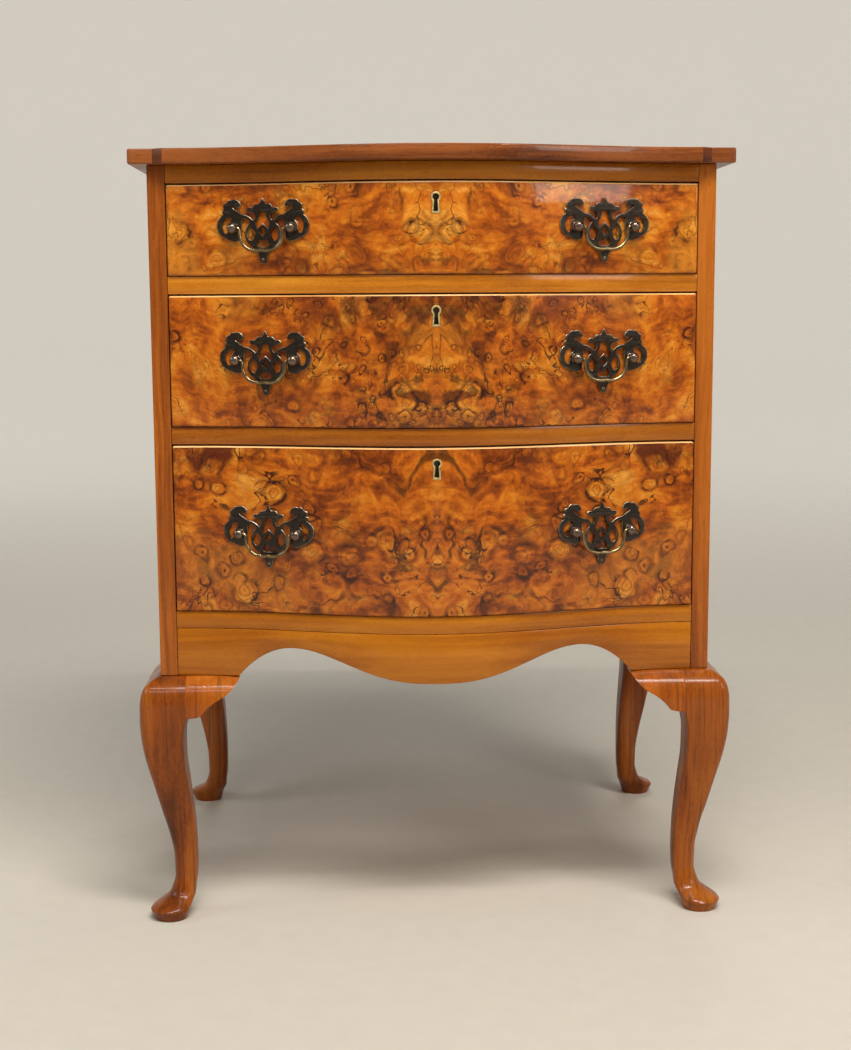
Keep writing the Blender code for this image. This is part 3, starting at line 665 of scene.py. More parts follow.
    def build(self) -> bpy.types.NodeTree:
        """Put out every part of the figure.

        Returns:
            The node group.
        """
        wires, made = self.wires, self.made
        body = self.build_lobes()
        self.build_lines()
        ground = wires.cloud(self.swirl, 24.0, 3.0, 0.55)
        mottle = wires.cloud(self.ruffle, 85.0, 7.0, 0.70)
        flow = wires.stretched(self.curl, (30.0, 30.0, 150.0), 4.0, 0.6)
        tone = wires.span(wires.total((ground, 0.40), (mottle, 0.34), (flow, 0.26)), 0.34, 0.66)
        smoke = wires.math("ADD", wires.cloud(self.curl, 17.0, 6.0, 0.66), wires.times(self.lean, 0.3))
        wires.feed(made["Tone"], wires.math("ADD", tone, wires.times(body, 0.10)))
        wires.feed(made["Smoke"], wires.span(smoke, 0.50, 0.68))
        wires.feed(made["Pale"], wires.span(wires.cloud(self.swirl, 9.0), 0.55, 0.66))
        wires.feed(made["Fibre"], wires.stretched(self.ruffle, (120.0, 120.0, 620.0), 3.0, 0.6))
        return wires.tree


class Effects:
    """Node groups that more than one finish uses."""

    @staticmethod
    def group(name: str, inputs: dict[str, str], outputs: Sequence[str]) -> tuple[Wiring, dict, dict]:
        """Start a node group with named sockets.

        Args:
            name: name of the group.
            inputs: socket kinds by name.
            outputs: names of the outputs, all plain values.

        Returns:
            Its wiring, its inputs by name and its output sockets by name.
        """
        tree = bpy.data.node_groups.new(name, "ShaderNodeTree")
        for label, kind in inputs.items():
            tree.interface.new_socket(label, in_out="INPUT", socket_type="NodeSocket" + kind)
        for label in outputs:
            tree.interface.new_socket(label, in_out="OUTPUT", socket_type="NodeSocketFloat")
        wires = Wiring(tree)
        start = wires.put("NodeGroupInput")
        end = wires.put("NodeGroupOutput")
        given = {label: start.outputs[label] for label in inputs}
        made = {label: end.inputs[label] for label in outputs}
        return wires, given, made

    @staticmethod
    def grain() -> bpy.types.NodeTree:
        """Straight wood: slow bands, streaks, fibres and pores along the X of the place.

        Returns:
            The node group.
        """
        inputs = {"Place": "Vector", "Seed": "Float", "Wave": "Float"}
        wires, given, made = Effects.group("straight_grain", inputs, ("Tone", "Streak", "Pores", "Height"))
        start = wires.vector("ADD", given["Place"], wires.join(given["Seed"], given["Seed"], given["Seed"]))
        sway = wires.noise(wires.vector("MULTIPLY", start, (3.0, 9.0, 9.0)), 1.0)
        place = wires.pushed(start, sway, given["Wave"])
        bands = wires.stretched(place, (1.6, 26.0, 26.0), 3.0, 0.55)
        streak = wires.stretched(place, (2.0, 34.0, 240.0), 3.0, 0.6)
        fibre = wires.stretched(place, (28.0, 900.0, 900.0), 2.0)
        pore = wires.stretched(place, (85.0, 1250.0, 1250.0), 1.0, 0.4)
        tone = wires.total((bands, 0.55), (streak, 0.30), (fibre, 0.15))
        wires.feed(made["Tone"], wires.span(tone, 0.30, 0.70))
        wires.feed(made["Streak"], wires.span(streak, 0.50, 0.66))
        wires.feed(made["Pores"], wires.span(pore, 0.64, 0.74))
        wires.feed(made["Height"], wires.math("SUBTRACT", fibre, wires.times(pore, 0.6)))
        return wires.tree

    @staticmethod
    def burr() -> bpy.types.NodeTree:
        """Burr veneer matched about the middle."""
        return BurrFigure().build()

    @staticmethod
    def wear() -> bpy.types.NodeTree:
        """Worn edges with a painted highlight: a patchy mask on the outward corners of a piece, made stronger
        on faces that point up to paint the light from above.

        Returns:
            The node group.
        """
        inputs = {"Place": "Vector", "Low": "Float", "High": "Float"}
        wires, given, made = Effects.group("rubbed_edges", inputs, ("Mask", "Mottle"))
        surface = wires.put("ShaderNodeNewGeometry").outputs
        feeds = {"Value": surface["Pointiness"], "From Min": given["Low"], "From Max": given["High"]}
        corner = wires.put("ShaderNodeMapRange", feeds).outputs[0]
        patch = wires.span(wires.cloud(given["Place"], 140.0, 3.0, 0.6), 0.30, 0.62)
        # Faces that point up get more of the pale edge colour: a painted highlight from the light above
        painted_top_light = wires.span(wires.split(surface["Normal"])[2], -0.5, 0.6, 0.25, 1.0)
        wires.feed(made["Mask"], wires.times(corner, wires.times(patch, painted_top_light)))
        wires.feed(made["Mottle"], wires.cloud(given["Place"], 320.0, 4.0, 0.65))
        return wires.tree

    @staticmethod
    def polish() -> bpy.types.NodeTree:
        """Hand polish: cloudy changes of gloss and a few fine marks.

        Returns:
            The node group.
        """
        wires, given, made = Effects.group("hand_polish", {"Place": "Vector"}, ("Gloss",))
        clouds = wires.cloud(given["Place"], 22.0, 3.0, 0.6)
        marks = wires.cloud(given["Place"], 260.0, 2.0, 0.5, 0.6)
        wires.feed(made["Gloss"], wires.span(wires.total((clouds, 0.8), (marks, 0.2)), 0.30, 0.70))
        return wires.tree


class Finish:
    """A material made of nodes, with one shader and shared effects."""

    groups: dict[str, bpy.types.NodeTree] = {}

    def __init__(self, name: str) -> None:
        """Start an empty material.

        Args:
            name: name of the material.
        """
        self.material = bpy.data.materials.new(name)
        self.material.use_nodes = True
        tree = self.material.node_tree
        self.wires = Wiring(tree)
        self.shader = tree.nodes["Principled BSDF"]
        self.place = self.wires.put("ShaderNodeTexCoord").outputs["Object"]

    def effect(self, name: str, **feeds: Feed) -> dict[str, bpy.types.NodeSocket]:
        """Place a shared effect in this material.

        Args:
            name: which effect of Effects.
            feeds: its inputs.

        Returns:
            Its outputs by name.
        """
        if name not in Finish.groups:
            Finish.groups[name] = getattr(Effects, name)()
        node = self.wires.put("ShaderNodeGroup")
        node.node_tree = Finish.groups[name]
        for key, value in feeds.items():
            self.wires.feed(node.inputs[key], value)
        return {socket.name: socket for socket in node.outputs}

    def set(self, **feeds: Feed) -> None:
        """Feed the shader; underscores in the names stand for blanks."""
        for key, value in feeds.items():
            self.wires.feed(self.shader.inputs[key.replace("_", " ")], value)

    def bump(self, height: Feed, strength: float, depth: float) -> None:
        """Raise the surface slightly by a height."""
        node = self.wires.put("ShaderNodeBump", {"Strength": strength, "Distance": depth, "Height": height})
        self.wires.feed(self.shader.inputs["Normal"], node.outputs[0])


@dataclass(frozen=True)
class StraightWood:
    """A wood with straight grain: its dark, middle and light shade, grain direction and polish."""

    name: str
    shades: tuple[Shade, Shade, Shade]
    axis: Axis
    seed: float
    wave: float = 0.02
    pores: float = 0.45
    dull: float = 0.34
    bright: float = 0.24
    coat: float = 0.35
    relief: float = 0.08
    sheer: float = 0.2
    haze: float = 0.06
    streak: float = 0.0
    middle_tone: float = 0.48
    fibre_depth: float = 0.0004

    def make(self) -> bpy.types.Material:
        """Build the material.

        Returns:
            The finished material.
        """
        finish = Finish(self.name)
        wires = finish.wires
        dark, middle, light = (tint(*shade) for shade in self.shades)
        parts = wires.split(finish.place)
        order = {Axis.ACROSS: (0, 1, 2), Axis.DEEP: (1, 0, 2), Axis.UPRIGHT: (2, 1, 0)}[self.axis]
        place = wires.join(*(parts[source] for source in order))
        grain = finish.effect("grain", Place=place, Seed=self.seed, Wave=self.wave)
        polish = finish.effect("polish", Place=finish.place)
        colour = wires.ramp(grain["Tone"], ((0.0, dark), (self.middle_tone, middle), (1.0, light)))
        colour = wires.mix(wires.times(grain["Streak"], self.streak), colour, dark)
        colour = wires.mix(wires.times(grain["Pores"], self.pores), colour, dark)
        finish.set(Base_Color=colour, Roughness=wires.span(polish["Gloss"], 0.0, 1.0, self.bright, self.dull),
                   Coat_Weight=self.coat, Coat_Roughness=self.haze, Specular_IOR_Level=self.sheer)
        finish.bump(grain["Height"], self.relief, self.fibre_depth)
        return finish.material


@dataclass(frozen=True)
class BurrVeneer:
    """Book-matched burr veneer of one drawer front."""

    name: str
    seed: float
    low: float
    lines: float
    eyes: float
    fine: float
    smoke: float
    pale: float
    lean: float
    fibre: float = 0.48
    rims: float = 0.78
    bright: float = 0.24
    dull: float = 0.36
    coat: float = 0.5
    haze: float = 0.05
    sheer: float = 0.15
    relief: float = 0.05
    fibre_depth: float = 0.0003

    # Shades of the ground from dark to light, and of the figure that lies on it
    GROUND = ((0.0, (84, 34, 4)), (0.24, (142, 65, 8)), (0.5, (185, 94, 14)), (0.76, (203, 119, 26)),
              (1.0, (220, 148, 54)))
    PALE = (216, 142, 44)
    SMOKE = (92, 36, 7)
    FIBRE = (130, 62, 8)
    RIM = (74, 28, 5)
    LINE = (40, 15, 4)

    def make(self) -> bpy.types.Material:
        """Build the material.

        Returns:
            The finished material.
        """
        finish = Finish(self.name)
        wires = finish.wires
        figure = finish.effect("burr", Place=finish.place, Seed=self.seed, Eyes=self.eyes,
                               Fine=self.fine, Lean=self.lean)
        polish = finish.effect("polish", Place=finish.place)
        tone = wires.math("ADD", figure["Tone"], self.low)
        colour = wires.ramp(tone, [(spot, tint(*shade)) for spot, shade in self.GROUND])
        layers = ((wires.times(figure["Pale"], self.pale), self.PALE),
                  (wires.times(figure["Smoke"], self.smoke), self.SMOKE),
                  (wires.span(figure["Fibre"], 0.50, 0.72, 0.0, self.fibre), self.FIBRE),
                  (wires.times(figure["Core"], self.rims), self.RIM),
                  (wires.times(figure["Line"], self.lines), self.LINE))
        for share, shade in layers:
            colour = wires.mix(share, colour, tint(*shade))
        finish.set(Base_Color=colour, Roughness=wires.span(polish["Gloss"], 0.0, 1.0, self.bright, self.dull),
                   Coat_Weight=self.coat, Coat_Roughness=self.haze, Specular_IOR_Level=self.sheer)
        finish.bump(figure["Fibre"], self.relief, self.fibre_depth)
        return finish.material


@dataclass(frozen=True)
class AgedMetal:
    """A metal with a patina that is worn through on its edges, the pale edge colour made stronger on top as a
    painted highlight.
    """

    name: str
    patina: Shade
    rubbed: Shade
    low: float
    high: float
    dull: float
    bright: float
    lacquer: float = 0.0
    metallic: float = 0.9
    haze: float = 0.08
    relief: float = 0.06
    pit_depth: float = 0.0002

    def make(self) -> bpy.types.Material:
        """Build the material.

        Returns:
            The finished material.
        """
        finish = Finish(self.name)
        wires = finish.wires
        wear = finish.effect("wear", Place=finish.place, Low=self.low, High=self.high)
        mottle = wires.span(wear["Mottle"], 0.30, 0.70, 0.70, 1.25)
        worn = wires.mix(1.0, tint(*self.patina), mottle, "MULTIPLY")
        # Pale edge colour: real worn corners plus a painted highlight on their top
        colour = wires.mix(wear["Mask"], worn, tint(*self.rubbed))
        rough = wires.span(wear["Mottle"], 0.25, 0.75, self.bright, self.dull)
        finish.set(Base_Color=colour, Metallic=self.metallic, Roughness=rough, Coat_Weight=self.lacquer,
                   Coat_Roughness=self.haze)
        finish.bump(wear["Mottle"], self.relief, self.pit_depth)
        return finish.material


class Palette:
    """Every finish of the chest by name."""

    # Rounding of the kept solids: merging of their corners, facets, and the least turn of an edge
    WELD = 0.00001
    EDGE_STEPS = 2
    EDGE_TURN = 40.0
    LINING = ((150, 112, 66), (186, 146, 94), (206, 170, 118))
    BARE = {"pores": 0.25, "dull": 0.62, "bright": 0.48, "coat": 0.0}
    SATIN = {"wave": 0.022, "dull": 0.44, "bright": 0.32, "coat": 0.40, "relief": 0.03, "sheer": 0.1,
             "haze": 0.12, "streak": 0.6}
    WOODS = (
        StraightWood("rail_wood", ((124, 62, 6), (176, 100, 14), (198, 124, 28)), Axis.ACROSS, seed=1.7),
        # Lit and shaded copies of the rail wood: painted light on the upper rail, painted shade on the lower
        # rail
        StraightWood("pale_rail", ((138, 74, 8), (187, 111, 18), (208, 136, 36)), Axis.ACROSS, seed=6.6),
        StraightWood("dark_rail", ((98, 46, 4), (149, 80, 10), (172, 102, 22)), Axis.ACROSS, seed=3.9),
        # Pale finish of the top edges of the drawer fronts: a painted highlight from the light above
        StraightWood("edge_wood", ((204, 146, 80), (228, 180, 112), (240, 204, 146)), Axis.ACROSS, seed=4.3),
        StraightWood("apron_wood", ((142, 74, 6), (174, 100, 11), (192, 120, 24)), Axis.ACROSS, seed=5.2),
        StraightWood("top_wood", ((66, 28, 11), (124, 65, 26), (158, 90, 40)), Axis.ACROSS, seed=9.4,
                     wave=0.03),
        # Darker copy of the top wood for the slanting facets at the corners of the front edge
        StraightWood("top_end", ((58, 24, 10), (100, 49, 20), (130, 69, 32)), Axis.ACROSS, seed=8.3,
                     wave=0.03),
        StraightWood("side_wood", ((112, 52, 14), (168, 90, 24), (192, 114, 38)), Axis.UPRIGHT, seed=3.1,
                     wave=0.03, coat=0.18),
        StraightWood("leg_wood", ((60, 25, 5), (144, 70, 11), (178, 101, 27)), Axis.UPRIGHT, seed=7.7,
                     **SATIN),
        StraightWood("ear_wood", ((84, 36, 6), (160, 79, 13), (190, 111, 31)), Axis.UPRIGHT, seed=2.6,
                     **SATIN),
        StraightWood("lining_across", LINING, Axis.ACROSS, seed=2.3, **BARE),
        StraightWood("lining_deep", LINING, Axis.DEEP, seed=4.9, **BARE),
        StraightWood("core_wood", ((112, 68, 34), (150, 98, 54), (170, 118, 70)), Axis.ACROSS, seed=5.7,
                     **BARE),
        StraightWood("back_wood", ((106, 66, 34), (146, 97, 53), (166, 117, 69)), Axis.UPRIGHT, seed=6.1,
                     **BARE),
    )
    BURRS = (
        BurrVeneer("upper_burr", seed=5.5, low=0.05, lines=0.65, eyes=0.85, fine=0.7, smoke=0.75,
                   pale=0.45, lean=0.3),
        BurrVeneer("middle_burr", seed=3.7, low=0.01, lines=0.80, eyes=1.1, fine=0.9, smoke=0.8,
                   pale=0.3, lean=1.0),
        BurrVeneer("lower_burr", seed=3.6, low=-0.03, lines=0.90, eyes=1.0, fine=0.4, smoke=1.0,
                   pale=0.25, lean=-0.5),
    )
    METALS = (
        # The pale edge shade of dark_bronze is near white: a painted highlight on the upper rims of the
        # plates, over their real worn corners
        AgedMetal("dark_bronze", (52, 44, 36), (232, 214, 184), low=0.520, high=0.555, dull=0.42, bright=0.32,
                  lacquer=0.5),
        AgedMetal("ball_bronze", (116, 100, 88), (206, 180, 142), low=0.52, high=0.60, dull=0.26,
                  bright=0.16),
        AgedMetal("handled_bronze", (112, 96, 72), (214, 182, 122), low=0.50, high=0.56, dull=0.24,
                  bright=0.12),
        AgedMetal("worn_brass", (216, 190, 128), (240, 220, 162), low=0.52, high=0.60, dull=0.56,
                  bright=0.40),
        AgedMetal("lock_steel", (140, 136, 128), (190, 186, 178), low=0.53, high=0.62, dull=0.52,
                  bright=0.36),
    )

    def __init__(self) -> None:
        """Build all the materials."""
        self.finishes = {recipe.name: recipe.make() for recipe in self.WOODS + self.BURRS + self.METALS}

    def dress(self, item: Item, *names: str) -> None:
        """Give a piece its finishes, in the order of its material slots.

        Args:
            item: the piece.
            names: names of the finishes.
        """
        item.data.materials.clear()
        for name in names:
            item.data.materials.append(self.finishes[name])

    def dress_solid(self, node: Item, finish: str, edge: float) -> None:
        """Give a kept solid its finish and slightly rounded edges.

        Args:
            node: the solid.
            finish: the finish of the solid.
            edge: width of the rounding.
        """
        self.dress(node, finish)
        weld = node.modifiers.new("weld", "WELD")
        weld.merge_threshold = self.WELD
        round_off = node.modifiers.new("ease", "BEVEL")
        round_off.width = edge
        round_off.segments = self.EDGE_STEPS
        round_off.limit_method = "ANGLE"
        round_off.angle_limit = math.radians(self.EDGE_TURN)
        LOG.info("dressed %s", node.name)


def settle(item: Item, body: str, node: str | None = None) -> Item:
    """Let a piece ride on a body, and stand for a solid where one is named.

    Args:
        item: the piece.
        body: the body that carries it.
        node: the solid that the piece replaces.

    Returns:
        The piece.
    """
    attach(item, body)
    if node:
        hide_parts(node)
    LOG.info("made %s", item.name)
    return item


@dataclass
class Serpentine:
    """The wavy front line that rails, apron, top and drawer fronts share."""

    stile_y: float = -0.181
    swell: float = 0.0475
    half: float = 0.257
    steps: int = 96

    def bow(self, x: float) -> float:
        """Forward swell of the line at x."""
        share = min(1.0, abs(x) / self.half)
        return self.swell * (1.0 + math.cos(math.pi * share)) / 2.0

    def board(self, name: str, low: Vector, high: Vector, front: Callable[[float], float],
              back: Callable[[float], float]) -> Item:
        """Model a board with a wavy front from a sliced block.

        Args:
            name: name of the piece.
            low: lowest corner of its box.
            high: highest corner of its box.
            front: front face at x, from the plane of the stiles.
            back: back face at x, from the plane of the stiles.

        Returns:
            The board with square edges.
        """
        item = Bench.block(name, (low.x, 0.0, low.z), (high.x, 1.0, high.z))
        Bench.slice(item, Axis.ACROSS, self.steps)

        def rule(spot: Vector) -> Point:
            """Follow the front or the back line."""
            line = front if spot.y < 0.5 else back
            return (spot.x, self.stile_y + line(spot.x), spot.z)

        Bench.shape(item, rule)
        return item


@dataclass
class Carcase:
    """Top, rails, apron and the flat boards of the case."""

    line: Serpentine
    palette: Palette
    overhang: float = 0.017
    corner_step: float = 0.0065
    facet: float = 0.010
    chamfer: float = 0.003
    top_edge: float = 0.0018
    rail_back: float = 0.035
    rail_edge: float = 0.0007
    mortise_room: float = 0.001
    mortise_deep: float = 0.0085
    apron_thick: float = 0.018
    apron_drop: float = 0.0015
    apron_rise: float = 0.0318
    apron_crest: float = 0.141
    apron_tip: float = 0.196
    apron_lobe: float = 1.33
    apron_flank: float = 2.1
    apron_edge: float = 0.0010
    board_edge: float = 0.0006
    nail_inset: float = 0.025
    nail_gaps: int = 4

    # Turn of a facet to the front from which it counts as facing it
    FRONT_TURN = -0.3
    # Finish of each rail, and the drawer whose bolt goes up into it; the upper rail's finish is lighter as
    # painted light and the lower rail's darker as painted shade
    RAILS = (("top_rail", "rail_wood", "upper"), ("upper_rail", "pale_rail", "middle"),
             ("lower_rail", "dark_rail", "lower"), ("bottom_rail", "apron_wood", None))
    BOARDS = {"left_side_panel": "side_wood", "right_side_panel": "side_wood", "back_panel": "back_wood",
              "bottom_board": "lining_across", "lower_dustboard": "lining_across",
              "upper_dustboard": "lining_across", "left_kicker": "lining_deep", "right_kicker": "lining_deep"}

    def top_front(self, x: float) -> float:
        """Front edge of the top at x, from the plane of the stiles.

        Args:
            x: place across the chest.

        Returns:
            Its depth.
        """
        reach = abs(x)
        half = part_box("top_panel")[1].x
        corner = self.corner_step - self.overhang
        if reach <= self.line.half:
            return -self.overhang - self.line.bow(x)
        if reach <= self.line.half + self.facet:
            return -self.overhang + self.corner_step * (reach - self.line.half) / self.facet
        return corner + max(0.0, reach - half + self.chamfer)

    def build_top(self) -> None:
        """Model the top panel with its stepped corners and eased edges."""
        low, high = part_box("top_panel")
        marks = [-high.x, self.chamfer - high.x, -self.line.half - self.facet]
        steps = self.line.steps
        inner = [self.line.half * (2.0 * step / steps - 1.0) for step in range(steps + 1)]
        places = marks + inner + [-x for x in reversed(marks)]
        last = len(places) - 1
        item = Bench.block("top_board", (low.x, 0.0, low.z), (high.x, 1.0, high.z))
        Bench.slice(item, Axis.ACROSS, last)

        def rule(spot: Vector) -> Point:
            """Spread the slices over the marks and follow the front line.

            Args:
                spot: a point of the block.

            Returns:
                Its place on the top.
            """
            x = places[round((spot.x - low.x) / (high.x - low.x) * last)]
            y = high.y if spot.y > 0.5 else self.line.stile_y + self.top_front(x)
            return (x, y, spot.z)

        Bench.shape(item, rule)
        Bench.ease(item, self.top_edge, 3, 60.0)
        Bench.smooth(item, 30.0)
        self.palette.dress(item, "top_wood", "top_end")
        # The slanting facets at the corners of the front edge get a darker copy of the top wood
        for side in item.data.polygons:
            slanting = self.line.half < abs(side.center.x) < self.line.half + self.facet
            side.material_index = 1 if slanting and side.normal.y < self.FRONT_TURN else 0
        settle(item, "carcase", "top_panel")

    def build_rails(self) -> None:
        """Model the four rails with eased edges and the mortises for the lock bolts."""
        for name, finish, drawer in self.RAILS:
            low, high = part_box(name)
            rail = self.line.board(name + "_board", low, high, lambda x: -self.line.bow(x),
                                   lambda _x: self.rail_back)
            Bench.ease(rail, self.rail_edge)
            if drawer:
                bolt_low, bolt_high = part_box(drawer + "_lock_bolt")
                room = Vector((self.mortise_room, self.mortise_room, 0.0))
                start = Vector((bolt_low.x, bolt_low.y, low.z - self.mortise_room)) - room
                end = Vector((bolt_high.x, bolt_high.y, low.z + self.mortise_deep)) + room
                Bench.cut(rail, Bench.block("mortise", start, end))
            Bench.smooth(rail, 30.0)
            self.palette.dress(rail, finish)
            settle(rail, "carcase", name)

    def apron_line(self, x: float, low: float) -> float:
        """Height of the apron's lower edge at x.

        Args:
            x: place across the chest.
            low: height of the carcase's underside.

        Returns:
            The height.
        """
        reach = abs(x)
        crest = low - self.apron_drop + self.apron_rise
        if reach >= self.apron_tip:
            return low
        if reach <= self.apron_crest:
            share = (reach / self.apron_crest) ** self.apron_lobe
            return crest - self.apron_rise * (1.0 + math.cos(math.pi * share)) / 2.0
        share = (reach - self.apron_crest) / (self.apron_tip - self.apron_crest)
        return crest - (crest - low) * share ** self.apron_flank

    def build_apron(self) -> None:
        """Model the shaped apron from a finely sliced block."""
        low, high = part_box("apron")
        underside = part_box("left_side_panel")[0].z
        item = Bench.block("apron_board", (low.x, 0.0, 0.0), (high.x, 1.0, 1.0))
        Bench.slice(item, Axis.ACROSS, 2 * self.line.steps)

        def rule(spot: Vector) -> Point:
            """Follow the wavy front and the arched lower edge."""
            y = self.line.stile_y - self.line.bow(spot.x) + (self.apron_thick if spot.y > 0.5 else 0.0)
            return (spot.x, y, high.z if spot.z > 0.5 else self.apron_line(spot.x, underside))

        Bench.shape(item, rule)
        Bench.ease(item, self.apron_edge, 2, 50.0)
        Bench.smooth(item, 30.0)
        self.palette.dress(item, "apron_wood")
        settle(item, "carcase", "apron")

    def dress_boards(self, nodes: dict[str, Item]) -> None:
        """Finish the flat boards that keep their solids.

        Args:
            nodes: the solids by name.
        """
        for name, finish in self.BOARDS.items():
            self.palette.dress_solid(nodes[name], finish, self.board_edge)

    def build_nails(self, nail: Item) -> None:
        """Set nail heads round the edge of the back panel.

        Args:
            nail: the head to copy.
        """
        low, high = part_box("back_panel")
        ends = [self.nail_inset, 1.0 - self.nail_inset]
        shares = [ends[0] + (ends[1] - ends[0]) * step / self.nail_gaps for step in range(self.nail_gaps + 1)]
        spots = [(across, up) for across in shares for up in shares if across in ends or up in ends]
        for number, (across, up) in enumerate(spots):
            spot = (low.x + across * (high.x - low.x), high.y, low.z + up * (high.z - low.z))
            head = Bench.copy_to(nail, f"back_nail_{number}", Matrix.Translation(spot))
            self.palette.dress(head, "lock_steel")
            settle(head, "carcase")


@dataclass
class Legs:
    """Four cabriole legs on pad feet and their six knee brackets."""

    palette: Palette
    half: float = 0.274
    front_y: float = -0.181
    depth: float = 0.406
    height: float = 0.252
    gap: float = 0.0003
    ledge: float = 0.0028
    knee: float = 0.0205
    ankle: float = 0.0074
    toe: float = 0.0168
    blank: float = 0.026
    shin: float = 0.0216
    ankle_in: float = 0.0304
    heel: float = 0.0230
    ear_thick: float = 0.020
    ear_drop: float = 0.0398
    ear_tip: float = 0.0030
    ear_long: float = 0.0517
    ear_edge: float = 0.0007
    ear_rows: int = 40
    ear_steps: int = 24
    ear_crowding: float = 1.3
    glued: float = 0.0004
    rows: int = 120
    corner_steps: int = 8
    widest_round: float = 0.49

    # Lower edge of a bracket: share of its length and share of its full drop
    EAR_LINE = ((0.00, 1.00), (0.12, 0.985), (0.22, 0.965), (0.28, 0.935), (0.34, 0.84), (0.48, 0.66),
                (0.60, 0.555), (0.72, 0.465), (0.85, 0.325), (0.95, 0.165))

    def outline(self) -> tuple[tuple[float, ...], ...]:
        """Leg table: share of height, reach outside, reach inside and both roundings.

        Returns:
            The rows from the floor up.
        """
        toe, heel, ankle, knee, shin = self.toe, self.heel, self.ankle, self.knee, self.shin
        inner, blank = self.ankle_in, self.blank
        return (
            (0.000, toe - 0.0046, heel - 0.0034, 0.0155, 0.0155),
            (0.014, toe - 0.0032, heel - 0.0022, 0.0172, 0.0163),
            (0.043, toe, heel, 0.0190, 0.0175),
            (0.049, toe - 0.0014, heel + 0.0006, 0.0186, 0.0168),
            (0.065, toe - 0.0082, heel + 0.0024, 0.0160, 0.0140),
            (0.086, toe - 0.0168, heel + 0.0046, 0.0125, 0.0113),
            (0.116, 0.0032 - ankle, inner - 0.0021, 0.0104, 0.0092),
            (0.165, 0.0002 - ankle, inner - 0.0005, 0.0090, 0.0080),
            (0.240, 0.0005 - ankle, inner, 0.0085, 0.0072),
            (0.340, 0.0042 - ankle, inner - 0.0006, 0.0082, 0.0062),
            (0.450, 0.0108 - ankle, inner - 0.0026, 0.0084, 0.0054),
            (0.560, knee - 0.0106, shin + 0.0034, 0.0088, 0.0046),
            (0.670, knee - 0.0042, shin + 0.0008, 0.0092, 0.0040),
            (0.755, knee - 0.0010, shin + 0.0006, 0.0095, 0.0034),
            (0.828, knee, blank - 0.0010, 0.0095, 0.0012),
            (0.842, knee, blank, 0.0095, 0.0004),
            (0.890, knee - 0.0002, blank, 0.0094, 0.0004),
            (0.925, knee - 0.0012, blank, 0.0088, 0.0004),
            (0.950, knee - 0.0032, blank, 0.0078, 0.0004),
            (0.970, knee - 0.0064, blank, 0.0064, 0.0004),
            (0.986, self.ledge + 0.0062, blank, 0.0050, 0.0004),
            (1.000, self.ledge, blank, 0.0035, 0.0004),
        )

    def corner_y(self, end: int) -> float:
        """Front of the case where end is -1, and its back where end is 1."""
        return self.front_y if end < 0 else self.front_y + self.depth

    def ring(self, outer: float, inner: float, outer_round: float,
             other_round: float) -> list[tuple[float, float]]:
        """Rounded square section of a leg, measured outward from the corner of the case.

        Args:
            outer: reach past the corner of the case.
            inner: reach under the case.
            outer_round: rounding of the outermost corner.
            other_round: rounding of the other corners.

        Returns:
            The section's points.
        """
        corners = ((outer, outer, 1, 1, outer_round), (-inner, outer, -1, 1, other_round),
                   (-inner, -inner, -1, -1, other_round), (outer, -inner, 1, -1, other_round))
        ring = []
        for number, (u, v, sign_u, sign_v, wanted) in enumerate(corners):
            radius = min(wanted, self.widest_round * (outer + inner))
            for step in range(self.corner_steps):
                angle = math.pi / 2.0 * (number + step / (self.corner_steps - 1))
                ring.append((u - sign_u * radius + radius * math.cos(angle),
                             v - sign_v * radius + radius * math.sin(angle)))
        return ring

    def build_leg(self, side: Side, end: int) -> None:
        """Model one leg from the floor to the underside of the case.

        Args:
            side: left or right.
            end: -1 for a front leg, 1 for a back leg.
        """
        table = self.outline()
        corner_y = self.corner_y(end)
        rings = []
        for row in range(self.rows + 1):
            share = row / self.rows
            ring = self.ring(*smooth_between(table, share))
            height = share * (self.height - self.gap)
            rings.append([(side.value * (self.half + u), corner_y + end * v, height) for u, v in ring])
        word = "front" if end < 0 else "back"
        item = Bench.loft(f"{word}_{side.word}_cabriole", rings)
        Bench.smooth(item, 50.0)
        self.palette.dress(item, "leg_wood")
        settle(item, "carcase", f"{word}_{side.word}_leg")

    def build_ear(self, side: Side, end: int, along_front: bool) -> None:
        """Model one knee bracket beside a leg.

        Args:
            side: left or right.
            end: -1 beside a front leg, 1 beside a back leg.
            along_front: true for a bracket under the apron, false for one under a case side.
        """
        length = self.ear_long + self.gap + self.glued
        start = self.blank - self.glued
        corner_y = self.corner_y(end)
        top = self.height - self.gap
        drops = self.EAR_LINE + ((1.00, self.ear_tip / self.ear_drop),)
        table = self.outline()
        rings = []
        for row in range(self.ear_rows + 1):
            along = row / self.ear_rows
            inward = start + along * length
            low = self.height - smooth_between(drops, along)[0] * self.ear_drop
            shares = [(step / self.ear_steps) ** self.ear_crowding for step in range(self.ear_steps + 1)]
            heights = [top + (low - top) * share for share in shares]
            line = [(smooth_between(table, z / top)[0], z) for z in heights]
            outline = [(-self.ear_thick, top)] + line + [(-self.ear_thick, low)]
            if along_front:
                x = side.value * (self.half - inward)
                rings.append([(x, corner_y + end * reach, z) for reach, z in outline])
            else:
                y = corner_y - end * inward
                rings.append([(side.value * (self.half + reach), y, z) for reach, z in outline])
        word = "front" if along_front else ("side_front" if end < 0 else "side_back")
        item = Bench.loft(f"{word}_{side.word}_ear", rings)
        Bench.ease(item, self.ear_edge, 2, 50.0)
        Bench.smooth(item, 40.0)
        self.palette.dress(item, "ear_wood")
        settle(item, "carcase", f"{word}_{side.word}_knee_bracket")

    def build(self) -> None:
        """Model every leg and bracket."""
        for side in Side:
            self.build_leg(side, -1)
            self.build_leg(side, 1)
            self.build_ear(side, -1, True)
            self.build_ear(side, -1, False)
            self.build_ear(side, 1, False)


